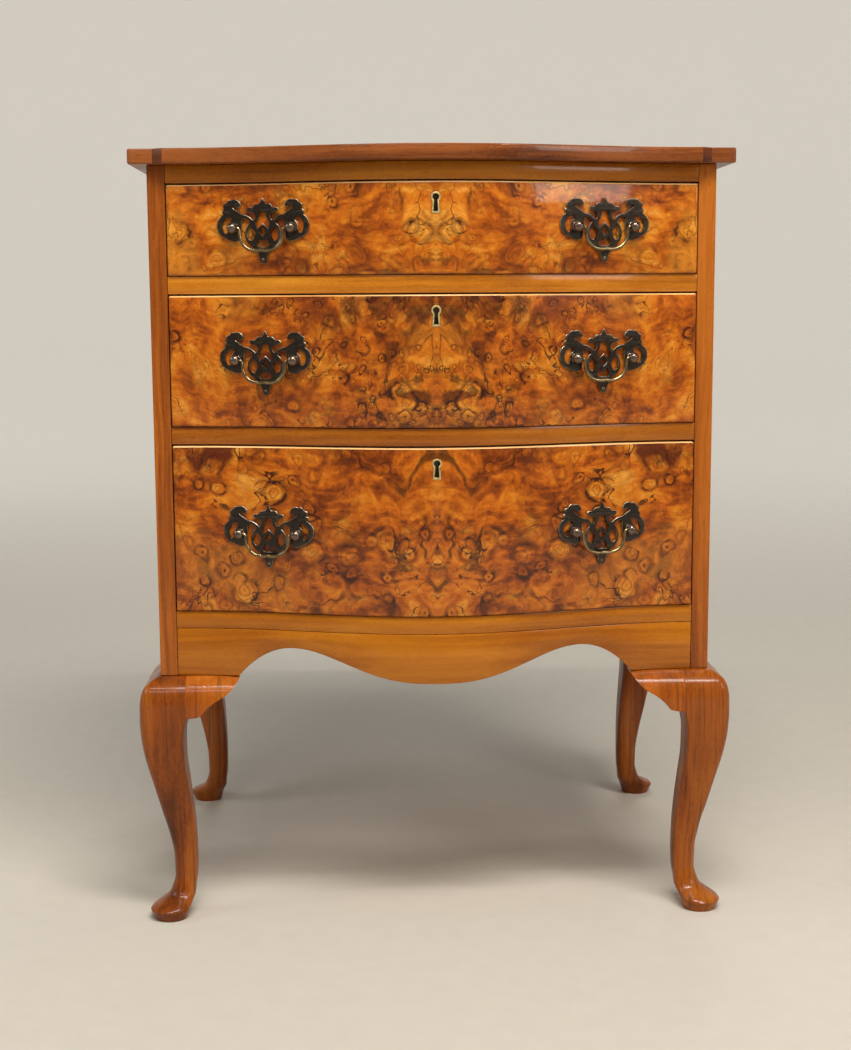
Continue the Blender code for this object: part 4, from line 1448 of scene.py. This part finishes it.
@dataclass
class Fixings:
    """Heads of the nails, tacks and screws, each modelled once and copied."""

    nail: tuple[float, float] = (0.0022, 0.0006)
    tack: tuple[float, float] = (0.0013, 0.0006)
    screw: tuple[float, float] = (0.0025, 0.0011)
    buried: float = 0.0004
    bevel: float = 0.0001
    slot_half: float = 0.0003
    slot_floor: float = 0.0004
    past: float = 0.0005
    root: float = 0.3
    sides: int = 20

    # Dome of a head from its rim to its middle: share of its half width and share of its rise
    DOME = ((1.0, 0.3), (0.65, 0.8), (0.15, 1.0))

    def build_head(self, name: str, radius: float, rise: float) -> Item:
        """Model a domed head that faces the back.

        Args:
            name: name of the piece.
            radius: half its width.
            rise: how far it stands out.

        Returns:
            The head, seated at y = 0.
        """
        rows = [(self.root * radius, self.buried), (radius, self.buried - self.bevel)]
        rows += [(wide * radius, -high * rise) for wide, high in self.DOME]
        head = Bench.turned(name, rows, self.sides)
        Bench.smooth(head, 35.0)
        return head

    def build_nail(self) -> Item:
        """Head of a nail of the back panel."""
        return self.build_head("nail", *self.nail)

    def build_tack(self) -> Item:
        """Head of the tack in the foot of a handle plate."""
        return self.build_head("tack", *self.tack)

    def build_screw(self) -> Item:
        """Slotted head of a lock's screw.

        Returns:
            The head, seated at y = 0.
        """
        radius, rise = self.screw
        head = self.build_head("screw", radius, rise)
        reach = radius + self.past
        Bench.cut(head, Bench.block("slot", (-reach, self.slot_floor, -self.slot_half),
                                    (reach, 2.0 * rise, self.slot_half)))
        return head


@dataclass
class Handles:
    """Pierced plate, turned posts and bail of the handles."""

    plate_half: float = 0.0458
    plate_thick: float = 0.002
    plate_edge: float = 0.0008
    plate_steps: int = 5
    tack_drop: float = 0.0294
    post_half: float = 0.0288
    pivot: float = 0.0075
    ball: float = 0.0053
    ball_start: float = -48.0
    ball_sweep: float = 136.0
    ball_steps: int = 16
    collar: float = 0.0044
    neck: float = 0.0031
    shank: float = 0.0022
    shank_tip: float = 0.0016
    shank_long: float = 0.0052
    shank_bevel: float = 0.0006
    nut: float = 0.0048
    nut_thick: float = 0.0035
    nut_sides: int = 6
    nut_stand: float = 0.12
    nut_edge: float = 0.0005
    gap: float = 0.0003
    bail_half: float = 0.0215
    bail_drop: float = 0.0215
    bail_thick: float = 0.0014
    bail_swell: float = 0.0004
    bail_start: float = 10.0
    bail_sweep: float = 160.0
    bail_square: float = 0.70
    bail_steps: int = 56
    bail_sides: int = 16
    nick_high: float = 0.03
    nick_wide: float = 0.13
    pin: float = 0.0025

    # Right half of the plate's outline in millimetres: x, height, smoothness
    EDGE = (
        (0.0, 28.2, False), (1.6, 26.2, True), (2.4, 23.4, False), (4.2, 22.3, True), (7.2, 22.4, True),
        (9.2, 20.7, True), (9.9, 18.9, False), (12.2, 19.4, True), (14.8, 18.7, True), (15.8, 16.9, True),
        (13.6, 15.0, True), (10.6, 14.5, True), (8.4, 13.4, True), (7.4, 11.4, True), (7.6, 9.4, True),
        (9.3, 6.9, False), (12.8, 9.9, True), (16.5, 12.0, True), (21.0, 12.9, False), (28.6, 18.2, False),
        (29.6, 19.6, True), (26.6, 20.4, True), (24.0, 19.0, True), (21.6, 21.4, True), (23.2, 24.8, True),
        (27.6, 26.9, True), (30.2, 26.0, False), (32.8, 26.6, True), (35.9, 23.6, False), (39.3, 21.4, True),
        (37.9, 18.0, False), (40.5, 15.6, True), (38.9, 13.0, False), (43.6, 9.0, True), (45.6, 3.4, True),
        (44.6, -2.2, True), (41.6, -6.6, True), (34.2, -10.8, True), (27.0, -12.6, True),
        (22.6, -10.8, False), (21.6, -5.0, True), (21.0, 2.0, True), (20.6, 8.9, False), (17.0, 8.7, True),
        (13.9, 7.0, True), (12.6, 4.9, False), (15.2, 2.4, True), (17.4, -2.0, True), (17.9, -6.6, True),
        (16.6, -11.4, True), (13.2, -16.0, True), (9.2, -19.2, True), (7.4, -21.2, False), (4.7, -25.4, True),
        (3.7, -29.4, True), (2.4, -32.4, True), (0.0, -33.4, True),
    )
    SIDE_HOLES = (
        ((30.8, 9.6, True), (35.8, 9.4, True), (39.6, 4.6, True), (39.4, -1.2, True), (36.4, -5.0, True),
         (34.6, -1.0, True), (34.0, 4.0, True)),
        ((11.8, 1.0, False), (7.1, -4.8, False), (10.4, -12.0, False), (13.6, -10.6, True),
         (15.2, -6.0, True), (14.2, -1.2, True)),
    )
    MIDDLE_HOLES = (
        ((3.4, 14.8, False), (3.6, 10.0, False), (6.9, 4.8, False), (5.3, -0.8, False), (0.0, 4.3, False)),
        ((0.0, 0.4, False), (3.4, -4.2, False), (0.0, -8.0, False)),
        ((0.0, -13.2, False), (3.6, -10.0, False), (5.8, -14.0, False), (5.0, -17.2, True),
         (0.0, -17.6, False)),
    )
    # Profiles of a post's collar and neck: added to the radius, and depth in thicknesses of the plate
    COLLAR_LINE = ((-0.0003, 0.95), (0.0, 1.05), (0.0, 1.20), (-0.0004, 1.32))
    NECK_LINE = ((0.0003, 1.42), (0.0, 1.55))
    # Shoulder of the bail from its pin to its loop, in thicknesses out from the loop and up from the pin
    SHOULDER = ((2.0, 0.0), (1.3, -0.06), (0.8, -0.34), (0.42, -0.80), (0.2, -1.4))

    def build_plate(self) -> Item:
        """Model the pierced plate with softened edges.

        Returns:
            The plate about the middle of its post line.
        """
        scale = self.plate_half / max(x for x, _z, _soft in self.EDGE)

        def sized(outline: Sequence[tuple], sign: int = 1) -> list[tuple]:
            """Outline in metres, mirrored where sign is -1."""
            return [(sign * x * scale, z * scale, soft) for x, z, soft in outline]

        def whole(half: Sequence[tuple]) -> list[tuple]:
            """Close an outline on the middle line with its mirror image."""
            return sized(half) + sized([knot for knot in reversed(half) if knot[0] > 0.0], -1)

        outlines = [whole(self.EDGE)]
        for hole in self.SIDE_HOLES:
            outlines += [sized(hole), sized(tuple(reversed(hole)), -1)]
        outlines += [whole(hole) for hole in self.MIDDLE_HOLES]
        plate = Bench.outline_mesh("plate", outlines, self.plate_thick, self.plate_edge, self.plate_steps)
        Bench.smooth(plate, 28.0)
        Bench.change(plate, "WEIGHTED_NORMAL", keep_sharp=True)
        return plate

    def build_post(self, inside: float) -> Item:
        """Model a post with its shank, collar, waisted neck and ball.

        Args:
            inside: depth from the plate's back to the inside of the drawer front.

        Returns:
            The post about its own axis.
        """
        tail = -inside - self.shank_long
        rows = [(self.shank_tip, tail), (self.shank, tail + self.shank_bevel), (self.shank, 0.0)]
        rows += [(self.collar + more, share * self.plate_thick) for more, share in self.COLLAR_LINE]
        rows += [(self.neck + more, share * self.plate_thick) for more, share in self.NECK_LINE]
        for step in range(self.ball_steps + 1):
            angle = math.radians(self.ball_start + self.ball_sweep * step / self.ball_steps)
            rows.append((self.ball * math.cos(angle), self.pivot + self.ball * math.sin(angle)))
        post = Bench.turned("post", rows)
        Bench.smooth(post, 38.0)
        return post

    def build_nut(self, inside: float) -> Item:
        """Model a six-sided nut against the inside of the drawer front.

        Args:
            inside: depth from the plate's back to the inside of the drawer front.

        Returns:
            The nut about the post's axis.
        """
        near = inside + self.nut * self.nut_stand + self.gap
        nut = Bench.turned("nut", [(self.nut, -near - self.nut_thick), (self.nut, -near)],
                           self.nut_sides)
        Bench.ease(nut, self.nut_edge, 2, 30.0)
        Bench.smooth(nut, 30.0)
        return nut

    def bail_path(self) -> list[Point]:
        """Middle line of the bail.

        Returns:
            Its points as x, height and radius of the rod.
        """
        thick = self.bail_thick
        start = [(self.post_half - self.ball + self.pin, 0.0, thick)]
        start += [(self.bail_half + out * thick, up * thick, thick) for out, up in self.SHOULDER]
        loop = []
        for step in range(self.bail_steps + 1):
            angle = math.radians(self.bail_start + self.bail_sweep * step / self.bail_steps)
            across = abs(math.cos(angle)) ** self.bail_square * math.copysign(1.0, math.cos(angle))
            down = math.sin(angle) ** self.bail_square
            nick = self.nick_high * math.exp(-((across / self.nick_wide) ** 2))
            loop.append((self.bail_half * across, -self.bail_drop * (down - nick),
                         thick + self.bail_swell * down))
        return start + loop + [(-x, z, radius) for x, z, radius in reversed(start)]

    def build_bail(self) -> Item:
        """Model the bail as a rod along its bent line.

        Returns:
            The bail about its own axis.
        """
        path = self.bail_path()
        turns = [TURN * step / self.bail_sides for step in range(self.bail_sides)]
        rings = []
        for number, (x, z, radius) in enumerate(path):
            before = path[max(number - 1, 0)]
            after = path[min(number + 1, len(path) - 1)]
            run = Vector((after[0] - before[0], after[1] - before[1])).normalized()
            rings.append([(x - run.y * radius * math.cos(turn), radius * math.sin(turn),
                           z + run.x * radius * math.cos(turn)) for turn in turns])
        bail = Bench.loft("bail", rings)
        Bench.smooth(bail, 60.0)
        return bail


@dataclass
class Drawer:
    """One drawer: its veneered front, its lock, its handles and its kept boards."""

    name: str
    line: Serpentine
    palette: Palette
    handles: Handles
    thick: float = 0.020
    proud: float = 0.0025
    edge_round: float = 0.0020
    gap: float = 0.0003
    tail_lap: float = 0.006
    tail_half: float = 0.0105
    tail_flare: float = 0.0022
    tail_pitch: float = 0.034
    side_drop: float = 0.004
    groove_up: float = 0.008
    groove_thick: float = 0.005
    groove_deep: float = 0.004
    groove_clear: float = 0.001
    keyhole_drop: float = 0.020
    keyhole_high: float = 0.020
    keyhole_round: float = 0.0048
    keyhole_neck: float = 0.0033
    keyhole_foot: float = 0.0040
    keyhole_wall: float = 0.0017
    keyhole_steps: int = 24
    escutcheon_thick: float = 0.003
    escutcheon_edge: float = 0.00025
    screw_inset: float = 0.005
    board_edge: float = 0.0004
    lock_edge: float = 0.0003
    cut_past: float = 0.004
    cut_through: float = 0.02
    depth_rounds: int = 20

    # Turn of a facet to the front from which it is veneered, and the turn up from which a facet of the top
    # edge gets the pale finish that paints a highlight
    FRONT_TURN = -0.15
    EDGE_TURN = 0.25
    BOARDS = {"drawer_left_side": "lining_deep", "drawer_right_side": "lining_deep",
              "drawer_back": "lining_across", "drawer_bottom": "lining_across"}

    def face(self, x: float) -> float:
        """Outer face of the front at x, from the plane of the stiles."""
        return -self.proud - self.line.bow(x)

    def inner(self, x: float) -> float:
        """Inner face of the front at x, from the plane of the stiles."""
        return self.face(x) + self.thick

    def body(self) -> str:
        """Name of the drawer's body in the frame."""
        return self.name + "_drawer"

    def fit(self, item: Item, finish: str, node: str | None = None) -> None:
        """Dress a piece and let it ride on the drawer, in place of a solid where one is named.

        Args:
            item: the piece.
            finish: its finish.
            node: the solid that the piece replaces.
        """
        self.palette.dress(item, finish)
        settle(item, self.body(), node)

    def socket_tools(self, low: Vector, high: Vector) -> list[Item]:
        """Prisms that cut the dovetail sockets at both ends of the front.

        Args:
            low: lowest corner of the front.
            high: highest corner of the front.

        Returns:
            The cutting tools.
        """
        shoulder = self.thick - self.proud + self.gap
        tip = self.tail_lap - self.proud
        end = shoulder + self.cut_past
        slope = self.tail_flare / (shoulder - tip - self.gap)
        usable = high.z - low.z - self.side_drop
        count = max(2, int(usable / self.tail_pitch))
        tools = []
        for side in Side:
            box_low, box_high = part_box(f"{self.name}_drawer_{side.word}_side")
            inside = box_high.x if side is Side.LEFT else box_low.x
            outside = low.x if side is Side.LEFT else high.x
            span = sorted((inside - side.value * self.gap, outside + side.value * self.cut_past))
            for number in range(count):
                middle = low.z + usable * (number + 0.5) / count
                tool = Bench.block("socket", (span[0], 0.0, -1.0), (span[1], 1.0, 1.0))

                def rule(spot: Vector, height: float = middle) -> Point:
                    """Flare the prism towards the face of the drawer.

                    Args:
                        spot: a point of the block.
                        height: middle of the socket.

                    Returns:
                        Its place on the prism.
                    """
                    y = tip if spot.y < 0.5 else end
                    half = self.tail_half + self.gap - slope * (y - tip)
                    return (spot.x, self.line.stile_y + y, height + half * spot.z)

                Bench.shape(tool, rule)
                tools.append(tool)
        return tools

    def groove_tool(self, low: float) -> Item:
        """Cutting tool of the groove for the drawer's bottom board.

        Args:
            low: height of the front's lower edge.

        Returns:
            The cutting tool.
        """
        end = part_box(f"{self.name}_drawer_left_side")[1].x + self.groove_clear
        start = low + self.groove_up
        tool = Bench.block("groove", (end, 0.0, start - self.gap),
                           (-end, 1.0, start + self.groove_thick + self.gap))
        Bench.slice(tool, Axis.ACROSS, self.line.steps)

        def rule(spot: Vector) -> Point:
            """Follow the inner face of the front."""
            reach = self.groove_deep if spot.y > 0.5 else -self.groove_deep
            return (spot.x, self.line.stile_y + self.inner(spot.x) + reach, spot.z)

        Bench.shape(tool, rule)
        return tool

    def keyhole(self, shrink: float) -> list[tuple[float, float]]:
        """Keyhole outline about its own centre, drawn in by shrink.

        Args:
            shrink: how far the outline is drawn in.

        Returns:
            Its points as x and height.
        """
        head = self.keyhole_round - shrink
        neck = self.keyhole_neck - shrink
        flare = self.keyhole_foot - shrink
        head_z = self.keyhole_high / 2.0 - self.keyhole_round
        foot = -self.keyhole_high / 2.0 + shrink
        start = -math.acos(neck / head)
        outline = [(-flare, foot), (flare, foot)]
        for step in range(self.keyhole_steps + 1):
            angle = start + (math.pi - 2.0 * start) * step / self.keyhole_steps
            outline.append((head * math.cos(angle), head_z + head * math.sin(angle)))
        return outline

    def keyhole_tool(self, shrink: float, middle: float, near: float, far: float) -> Item:
        """Cutting tool of a keyhole's outline between two depths."""
        rings = [[(x, y, middle + z) for x, z in self.keyhole(shrink)] for y in (near, far)]
        return Bench.loft("keyhole", rings)

    def build_front(self) -> None:
        """Model the wavy front with its joints, lock recess and keyhole."""
        node = self.name + "_drawer_front"
        low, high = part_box(node)
        item = self.line.board(self.name + "_veneered_front", low, high, self.face, self.inner)
        Bench.ease(item, self.edge_round, 4, 40.0)
        for tool in self.socket_tools(low, high):
            Bench.cut(item, tool)
        case_low, case_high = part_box(self.name + "_lock_case")
        room = Vector((self.gap, self.gap, self.gap))
        past = Vector((self.gap, self.cut_through, self.cut_past))
        Bench.cut(item, Bench.block("recess", case_low - room, case_high + past))
        Bench.cut(item, self.groove_tool(low.z))
        middle = high.z - self.keyhole_drop
        face = self.line.stile_y + self.face(0.0)
        before = face - self.cut_through
        Bench.cut(item, self.keyhole_tool(self.keyhole_wall, middle, before, face + 2.0 * self.cut_through))
        seat = face + self.escutcheon_thick + self.gap
        Bench.cut(item, self.keyhole_tool(-self.gap, middle, before, seat))
        Bench.face_out(item)
        Bench.smooth(item, 32.0)
        self.palette.dress(item, self.name + "_burr", "core_wood", "edge_wood")
        # Front facets get the burr, facets that turn up along the top edge get the pale painted highlight,
        # and the rest get the core wood
        for facet in item.data.polygons:
            in_front = facet.normal.y < self.FRONT_TURN
            lit_top_edge = facet.normal.z > self.EDGE_TURN and facet.center.z > high.z - self.edge_round
            facet.material_index = (2 if lit_top_edge else 0) if in_front else 1
        settle(item, self.body(), node)

    def build_escutcheon(self) -> None:
        """Model the keyhole's metal lining with softened rims."""
        node = self.name + "_escutcheon"
        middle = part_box(self.name + "_drawer_front")[1].z - self.keyhole_drop
        outlines = [[(x, z, False) for x, z in self.keyhole(shrink)] for shrink in (0.0, self.keyhole_wall)]
        item = Bench.outline_mesh(self.name + "_keyhole_lining", outlines, self.escutcheon_thick,
                                  self.escutcheon_edge, 1)
        back = self.line.stile_y + self.face(0.0) + self.escutcheon_thick
        item.data.transform(Matrix.Translation((0.0, back, middle)))
        Bench.smooth(item, 32.0)
        self.fit(item, "worn_brass", node)

    def depth_inside(self, seat: Vector, turn: float, along: float) -> float:
        """Distance from a plate's back to the inside of the drawer front.

        Args:
            seat: middle of the plate's back.
            turn: turn of the plate about Z.
            along: place along the plate.

        Returns:
            The distance.
        """
        depth = self.thick
        for _round in range(self.depth_rounds):
            x = seat.x + along * math.cos(turn) - depth * math.sin(turn)
            y = seat.y + along * math.sin(turn) + depth * math.cos(turn)
            depth += (self.line.stile_y + self.inner(x) - y) / math.cos(turn)
        return depth

    def build_handle(self, side: Side, joint: dict, plate: Item, bail: Item, tack: Item) -> None:
        """Place one plate with its tack, posts, nuts and bail.

        Args:
            side: left or right.
            joint: the frame's joint that the bail swings on.
            plate: the plate to copy.
            bail: the bail to copy.
            tack: the tack's head to copy.
        """
        label = f"{self.name}_{side.word}"
        handles = self.handles
        axis = Vector(joint["axis"])
        turn = math.atan2(-axis.y, -axis.x)
        pivot = Vector(joint["pos_m"])
        spin = Matrix.Rotation(turn, 4, "Z")
        seat = pivot + handles.pivot * Vector((-math.sin(turn), math.cos(turn), 0.0))
        place = Matrix.Translation(seat) @ spin
        back = Bench.copy_to(plate, label + "_pierced_plate", place)
        self.fit(back, "dark_bronze", label + "_handle_plate")
        low_end = Matrix.Translation((0.0, -handles.plate_thick, -handles.tack_drop))
        head = Bench.copy_to(tack, label + "_plate_tack", place @ low_end @ Matrix.Rotation(math.pi, 4, "Z"))
        self.fit(head, "ball_bronze")
        for word, end in (("inner", -side.value), ("outer", side.value)):
            along = end * handles.post_half
            inside = self.depth_inside(seat, turn, along)
            for kind, piece in (("post", handles.build_post(inside)), ("nut", handles.build_nut(inside))):
                piece.name = f"{label}_{word}_{kind}"
                piece.data.transform(place @ Matrix.Translation((along, 0.0, 0.0)))
                self.fit(piece, "ball_bronze")
        loop = Bench.copy_to(bail, label + "_bail_loop", Matrix.Translation(pivot) @ spin)
        self.palette.dress(loop, "handled_bronze")
        settle(loop, label + "_pull", label + "_bail")

    def build_screws(self, screw: Item) -> None:
        """Put a screw head in each corner of the lock case.

        Args:
            screw: the head to copy.
        """
        low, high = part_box(self.name + "_lock_case")
        for side in Side:
            for word, height in (("lower", low.z + self.screw_inset), ("upper", high.z - self.screw_inset)):
                place = Matrix.Translation((side.value * (high.x - self.screw_inset), high.y, height))
                head = Bench.copy_to(screw, f"{self.name}_{side.word}_{word}_lock_screw", place)
                self.fit(head, "worn_brass")

    def dress_boards(self, nodes: dict[str, Item]) -> None:
        """Finish the boards and lock that keep their solids.

        Args:
            nodes: the solids by name.
        """
        for piece, finish in self.BOARDS.items():
            self.palette.dress_solid(nodes[f"{self.name}_{piece}"], finish, self.board_edge)
        for piece in ("lock_case", "lock_bolt"):
            self.palette.dress_solid(nodes[f"{self.name}_{piece}"], "lock_steel", self.lock_edge)


@dataclass(frozen=True)
class Lamp:
    """A soft lamp: where it hangs, the point it faces, its width and height, its watts and its colour."""

    name: str
    spot: Point
    aim: Point
    size: tuple[float, float]
    power: float
    colour: Point

    def hang(self) -> None:
        """Add the lamp to the scene."""
        light = bpy.data.lights.new(self.name, "AREA")
        light.shape = "RECTANGLE"
        light.size, light.size_y = self.size
        light.energy = self.power
        light.color = self.colour
        item = bpy.data.objects.new(self.name, light)
        item.location = self.spot
        item.rotation_euler = (Vector(self.aim) - Vector(self.spot)).to_track_quat("-Z", "Y").to_euler()
        bpy.context.collection.objects.link(item)


@dataclass
class Studio:
    """Pale floor, soft lamps and the camera at the photograph's angle."""

    floor_round: float = 5.5
    floor_sides: int = 96
    wall_high: float = 4.5
    wall_curve: float = 1.6
    wall_steps: int = 16
    speck_scale: float = 40.0
    dullness: float = 0.85
    glow_start: float = 0.8
    glow_full: float = 4.6
    front_end: float = -3.0
    back_start: float = 0.5
    front_glow: float = 0.30
    room_light: float = 0.11
    camera_spot: Point = (-0.0683, -1.7664, 0.6219)
    yaw: float = -2.126
    pitch: float = -7.942
    roll: float = 0.328
    lens: float = 55.54
    sensor: float = 36.0
    nearest: float = 0.01

    SHEET = ((200, 193, 180), (208, 201, 188))
    GLOW = (178, 174, 166)
    BLACK = (0.0, 0.0, 0.0, 1.0)
    ROOM = (0.92, 0.95, 1.0, 1.0)
    LAMPS = (
        Lamp("key_lamp", (0.35, -1.55, 2.75), (0.0, -0.1, 0.35), (1.6, 0.90), 64.0, (1.0, 0.96, 0.90)),
        Lamp("front_lamp", (-0.6, -3.0, 2.6), (0.0, 0.0, 0.4), (1.8, 0.5), 13.0, (0.90, 0.92, 1.0)),
        Lamp("right_lamp", (2.0, -2.1, 1.6), (0.1, -0.2, 0.4), (0.9, 0.9), 14.0, (1.0, 0.97, 0.92)),
        Lamp("strip_lamp", (0.0, -1.25, 2.45), (0.0, -0.25, 0.3), (1.9, 0.05), 18.0, (1.0, 0.97, 0.92)),
        Lamp("side_lamp", (-2.4, -0.6, 1.9), (0.0, 0.0, 0.4), (1.2, 1.0), 12.0, (0.93, 0.97, 1.0)),
        Lamp("back_lamp", (0.4, 2.4, 2.6), (0.0, 0.2, 0.5), (1.6, 1.0), 22.0, (1.0, 1.0, 1.0)),
    )

    def make_sheet(self) -> bpy.types.Material:
        """Build the finish of the floor, which brightens away from the chest as seen by the camera.

        Returns:
            The finished material.
        """
        finish = Finish("studio_sheet")
        wires = finish.wires
        dark, light = (tint(*shade) for shade in self.SHEET)
        colour = wires.ramp(wires.cloud(finish.place, self.speck_scale, 3.0), ((0.0, dark), (1.0, light)))
        far = wires.put("ShaderNodeVectorMath", {0: finish.place}, operation="LENGTH").outputs["Value"]
        rays = wires.put("ShaderNodeLightPath").outputs
        seen = wires.most(rays["Is Camera Ray"], rays["Is Glossy Ray"], rays["Is Transmission Ray"])
        behind = wires.split(finish.place)[1]
        level = wires.times(wires.span(far, self.glow_start, self.glow_full),
                            wires.span(behind, self.front_end, self.back_start, self.front_glow, 1.0))
        glow = wires.mix(wires.times(level, seen), self.BLACK, tint(*self.GLOW))
        finish.set(Base_Color=colour, Roughness=self.dullness, Emission_Color=glow, Emission_Strength=1.0)
        return finish.material

    def build_floor(self) -> None:
        """Model a pale round floor that curves up into a wall on all sides."""
        Bench.rest()
        bpy.ops.mesh.primitive_circle_add(vertices=self.floor_sides, radius=self.floor_round,
                                          fill_type="NGON")
        floor = Bench.adopt("studio_floor")
        bpy.ops.object.mode_set(mode="EDIT")
        bpy.ops.mesh.select_mode(type="EDGE")
        bpy.ops.mesh.select_all(action="SELECT")
        bpy.ops.mesh.region_to_loop()
        bpy.ops.mesh.extrude_edges_move(TRANSFORM_OT_translate={"value": (0.0, 0.0, self.wall_high)})
        bpy.ops.object.mode_set(mode="OBJECT")
        Bench.ease(floor, self.wall_curve, self.wall_steps, 40.0)
        Bench.smooth(floor, 40.0)
        floor.data.materials.append(self.make_sheet())

    def build_lamps(self) -> None:
        """Hang the lamps and set the light of the room."""
        for lamp in self.LAMPS:
            lamp.hang()
        world = bpy.data.worlds.new("studio_room")
        world.use_nodes = True
        room = world.node_tree.nodes["Background"]
        room.inputs["Color"].default_value = self.ROOM
        room.inputs["Strength"].default_value = self.room_light
        bpy.context.scene.world = world

    def build_camera(self) -> None:
        """Set the camera where the photograph was taken from."""
        camera = bpy.data.cameras.new("photo_camera")
        camera.sensor_fit = "VERTICAL"
        camera.sensor_height = self.sensor
        camera.sensor_width = self.sensor
        camera.lens = self.lens
        camera.clip_start = self.nearest
        turn = Matrix.Rotation(math.radians(self.yaw), 3, "Z")
        tilt = Matrix.Rotation(math.radians(self.pitch), 3, "X")
        lean = Matrix.Rotation(math.radians(self.roll), 3, "Y")
        pose = turn @ tilt @ lean
        right, ahead, up = (pose @ Vector(axis) for axis in ((1, 0, 0), (0, 1, 0), (0, 0, 1)))
        item = bpy.data.objects.new("photo_camera", camera)
        bpy.context.collection.objects.link(item)
        item.matrix_world = Matrix((right, up, -ahead)).transposed().to_4x4()
        item.location = self.camera_spot
        bpy.context.scene.camera = item

    def build(self) -> None:
        """Build the whole studio."""
        self.build_floor()
        self.build_lamps()
        self.build_camera()
        bpy.context.scene.view_settings.view_transform = "Standard"


def main() -> None:
    """Build the looks of the chest around the frame."""
    logging.basicConfig(level=logging.INFO, format="%(message)s")
    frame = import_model()
    joints = {joint["name"]: joint for joint in frame["joints"]}
    Studio().build()
    palette = Palette()
    line = Serpentine()
    carcase = Carcase(line, palette)
    carcase.build_top()
    carcase.build_rails()
    carcase.build_apron()
    carcase.dress_boards(frame["nodes"])
    Legs(palette).build()
    handles, fixings = Handles(), Fixings()
    plate, bail = handles.build_plate(), handles.build_bail()
    nail, tack, screw = fixings.build_nail(), fixings.build_tack(), fixings.build_screw()
    carcase.build_nails(nail)
    for name in ("upper", "middle", "lower"):
        drawer = Drawer(name, line, palette, handles)
        drawer.build_front()
        drawer.build_escutcheon()
        for side in Side:
            drawer.build_handle(side, joints[f"{name}_{side.word}_bail_swing"], plate, bail, tack)
        drawer.build_screws(screw)
        drawer.dress_boards(frame["nodes"])
    for pattern in (plate, bail, nail, tack, screw):
        bpy.data.objects.remove(pattern, do_unlink=True)


if __name__ == "__main__":
    main()
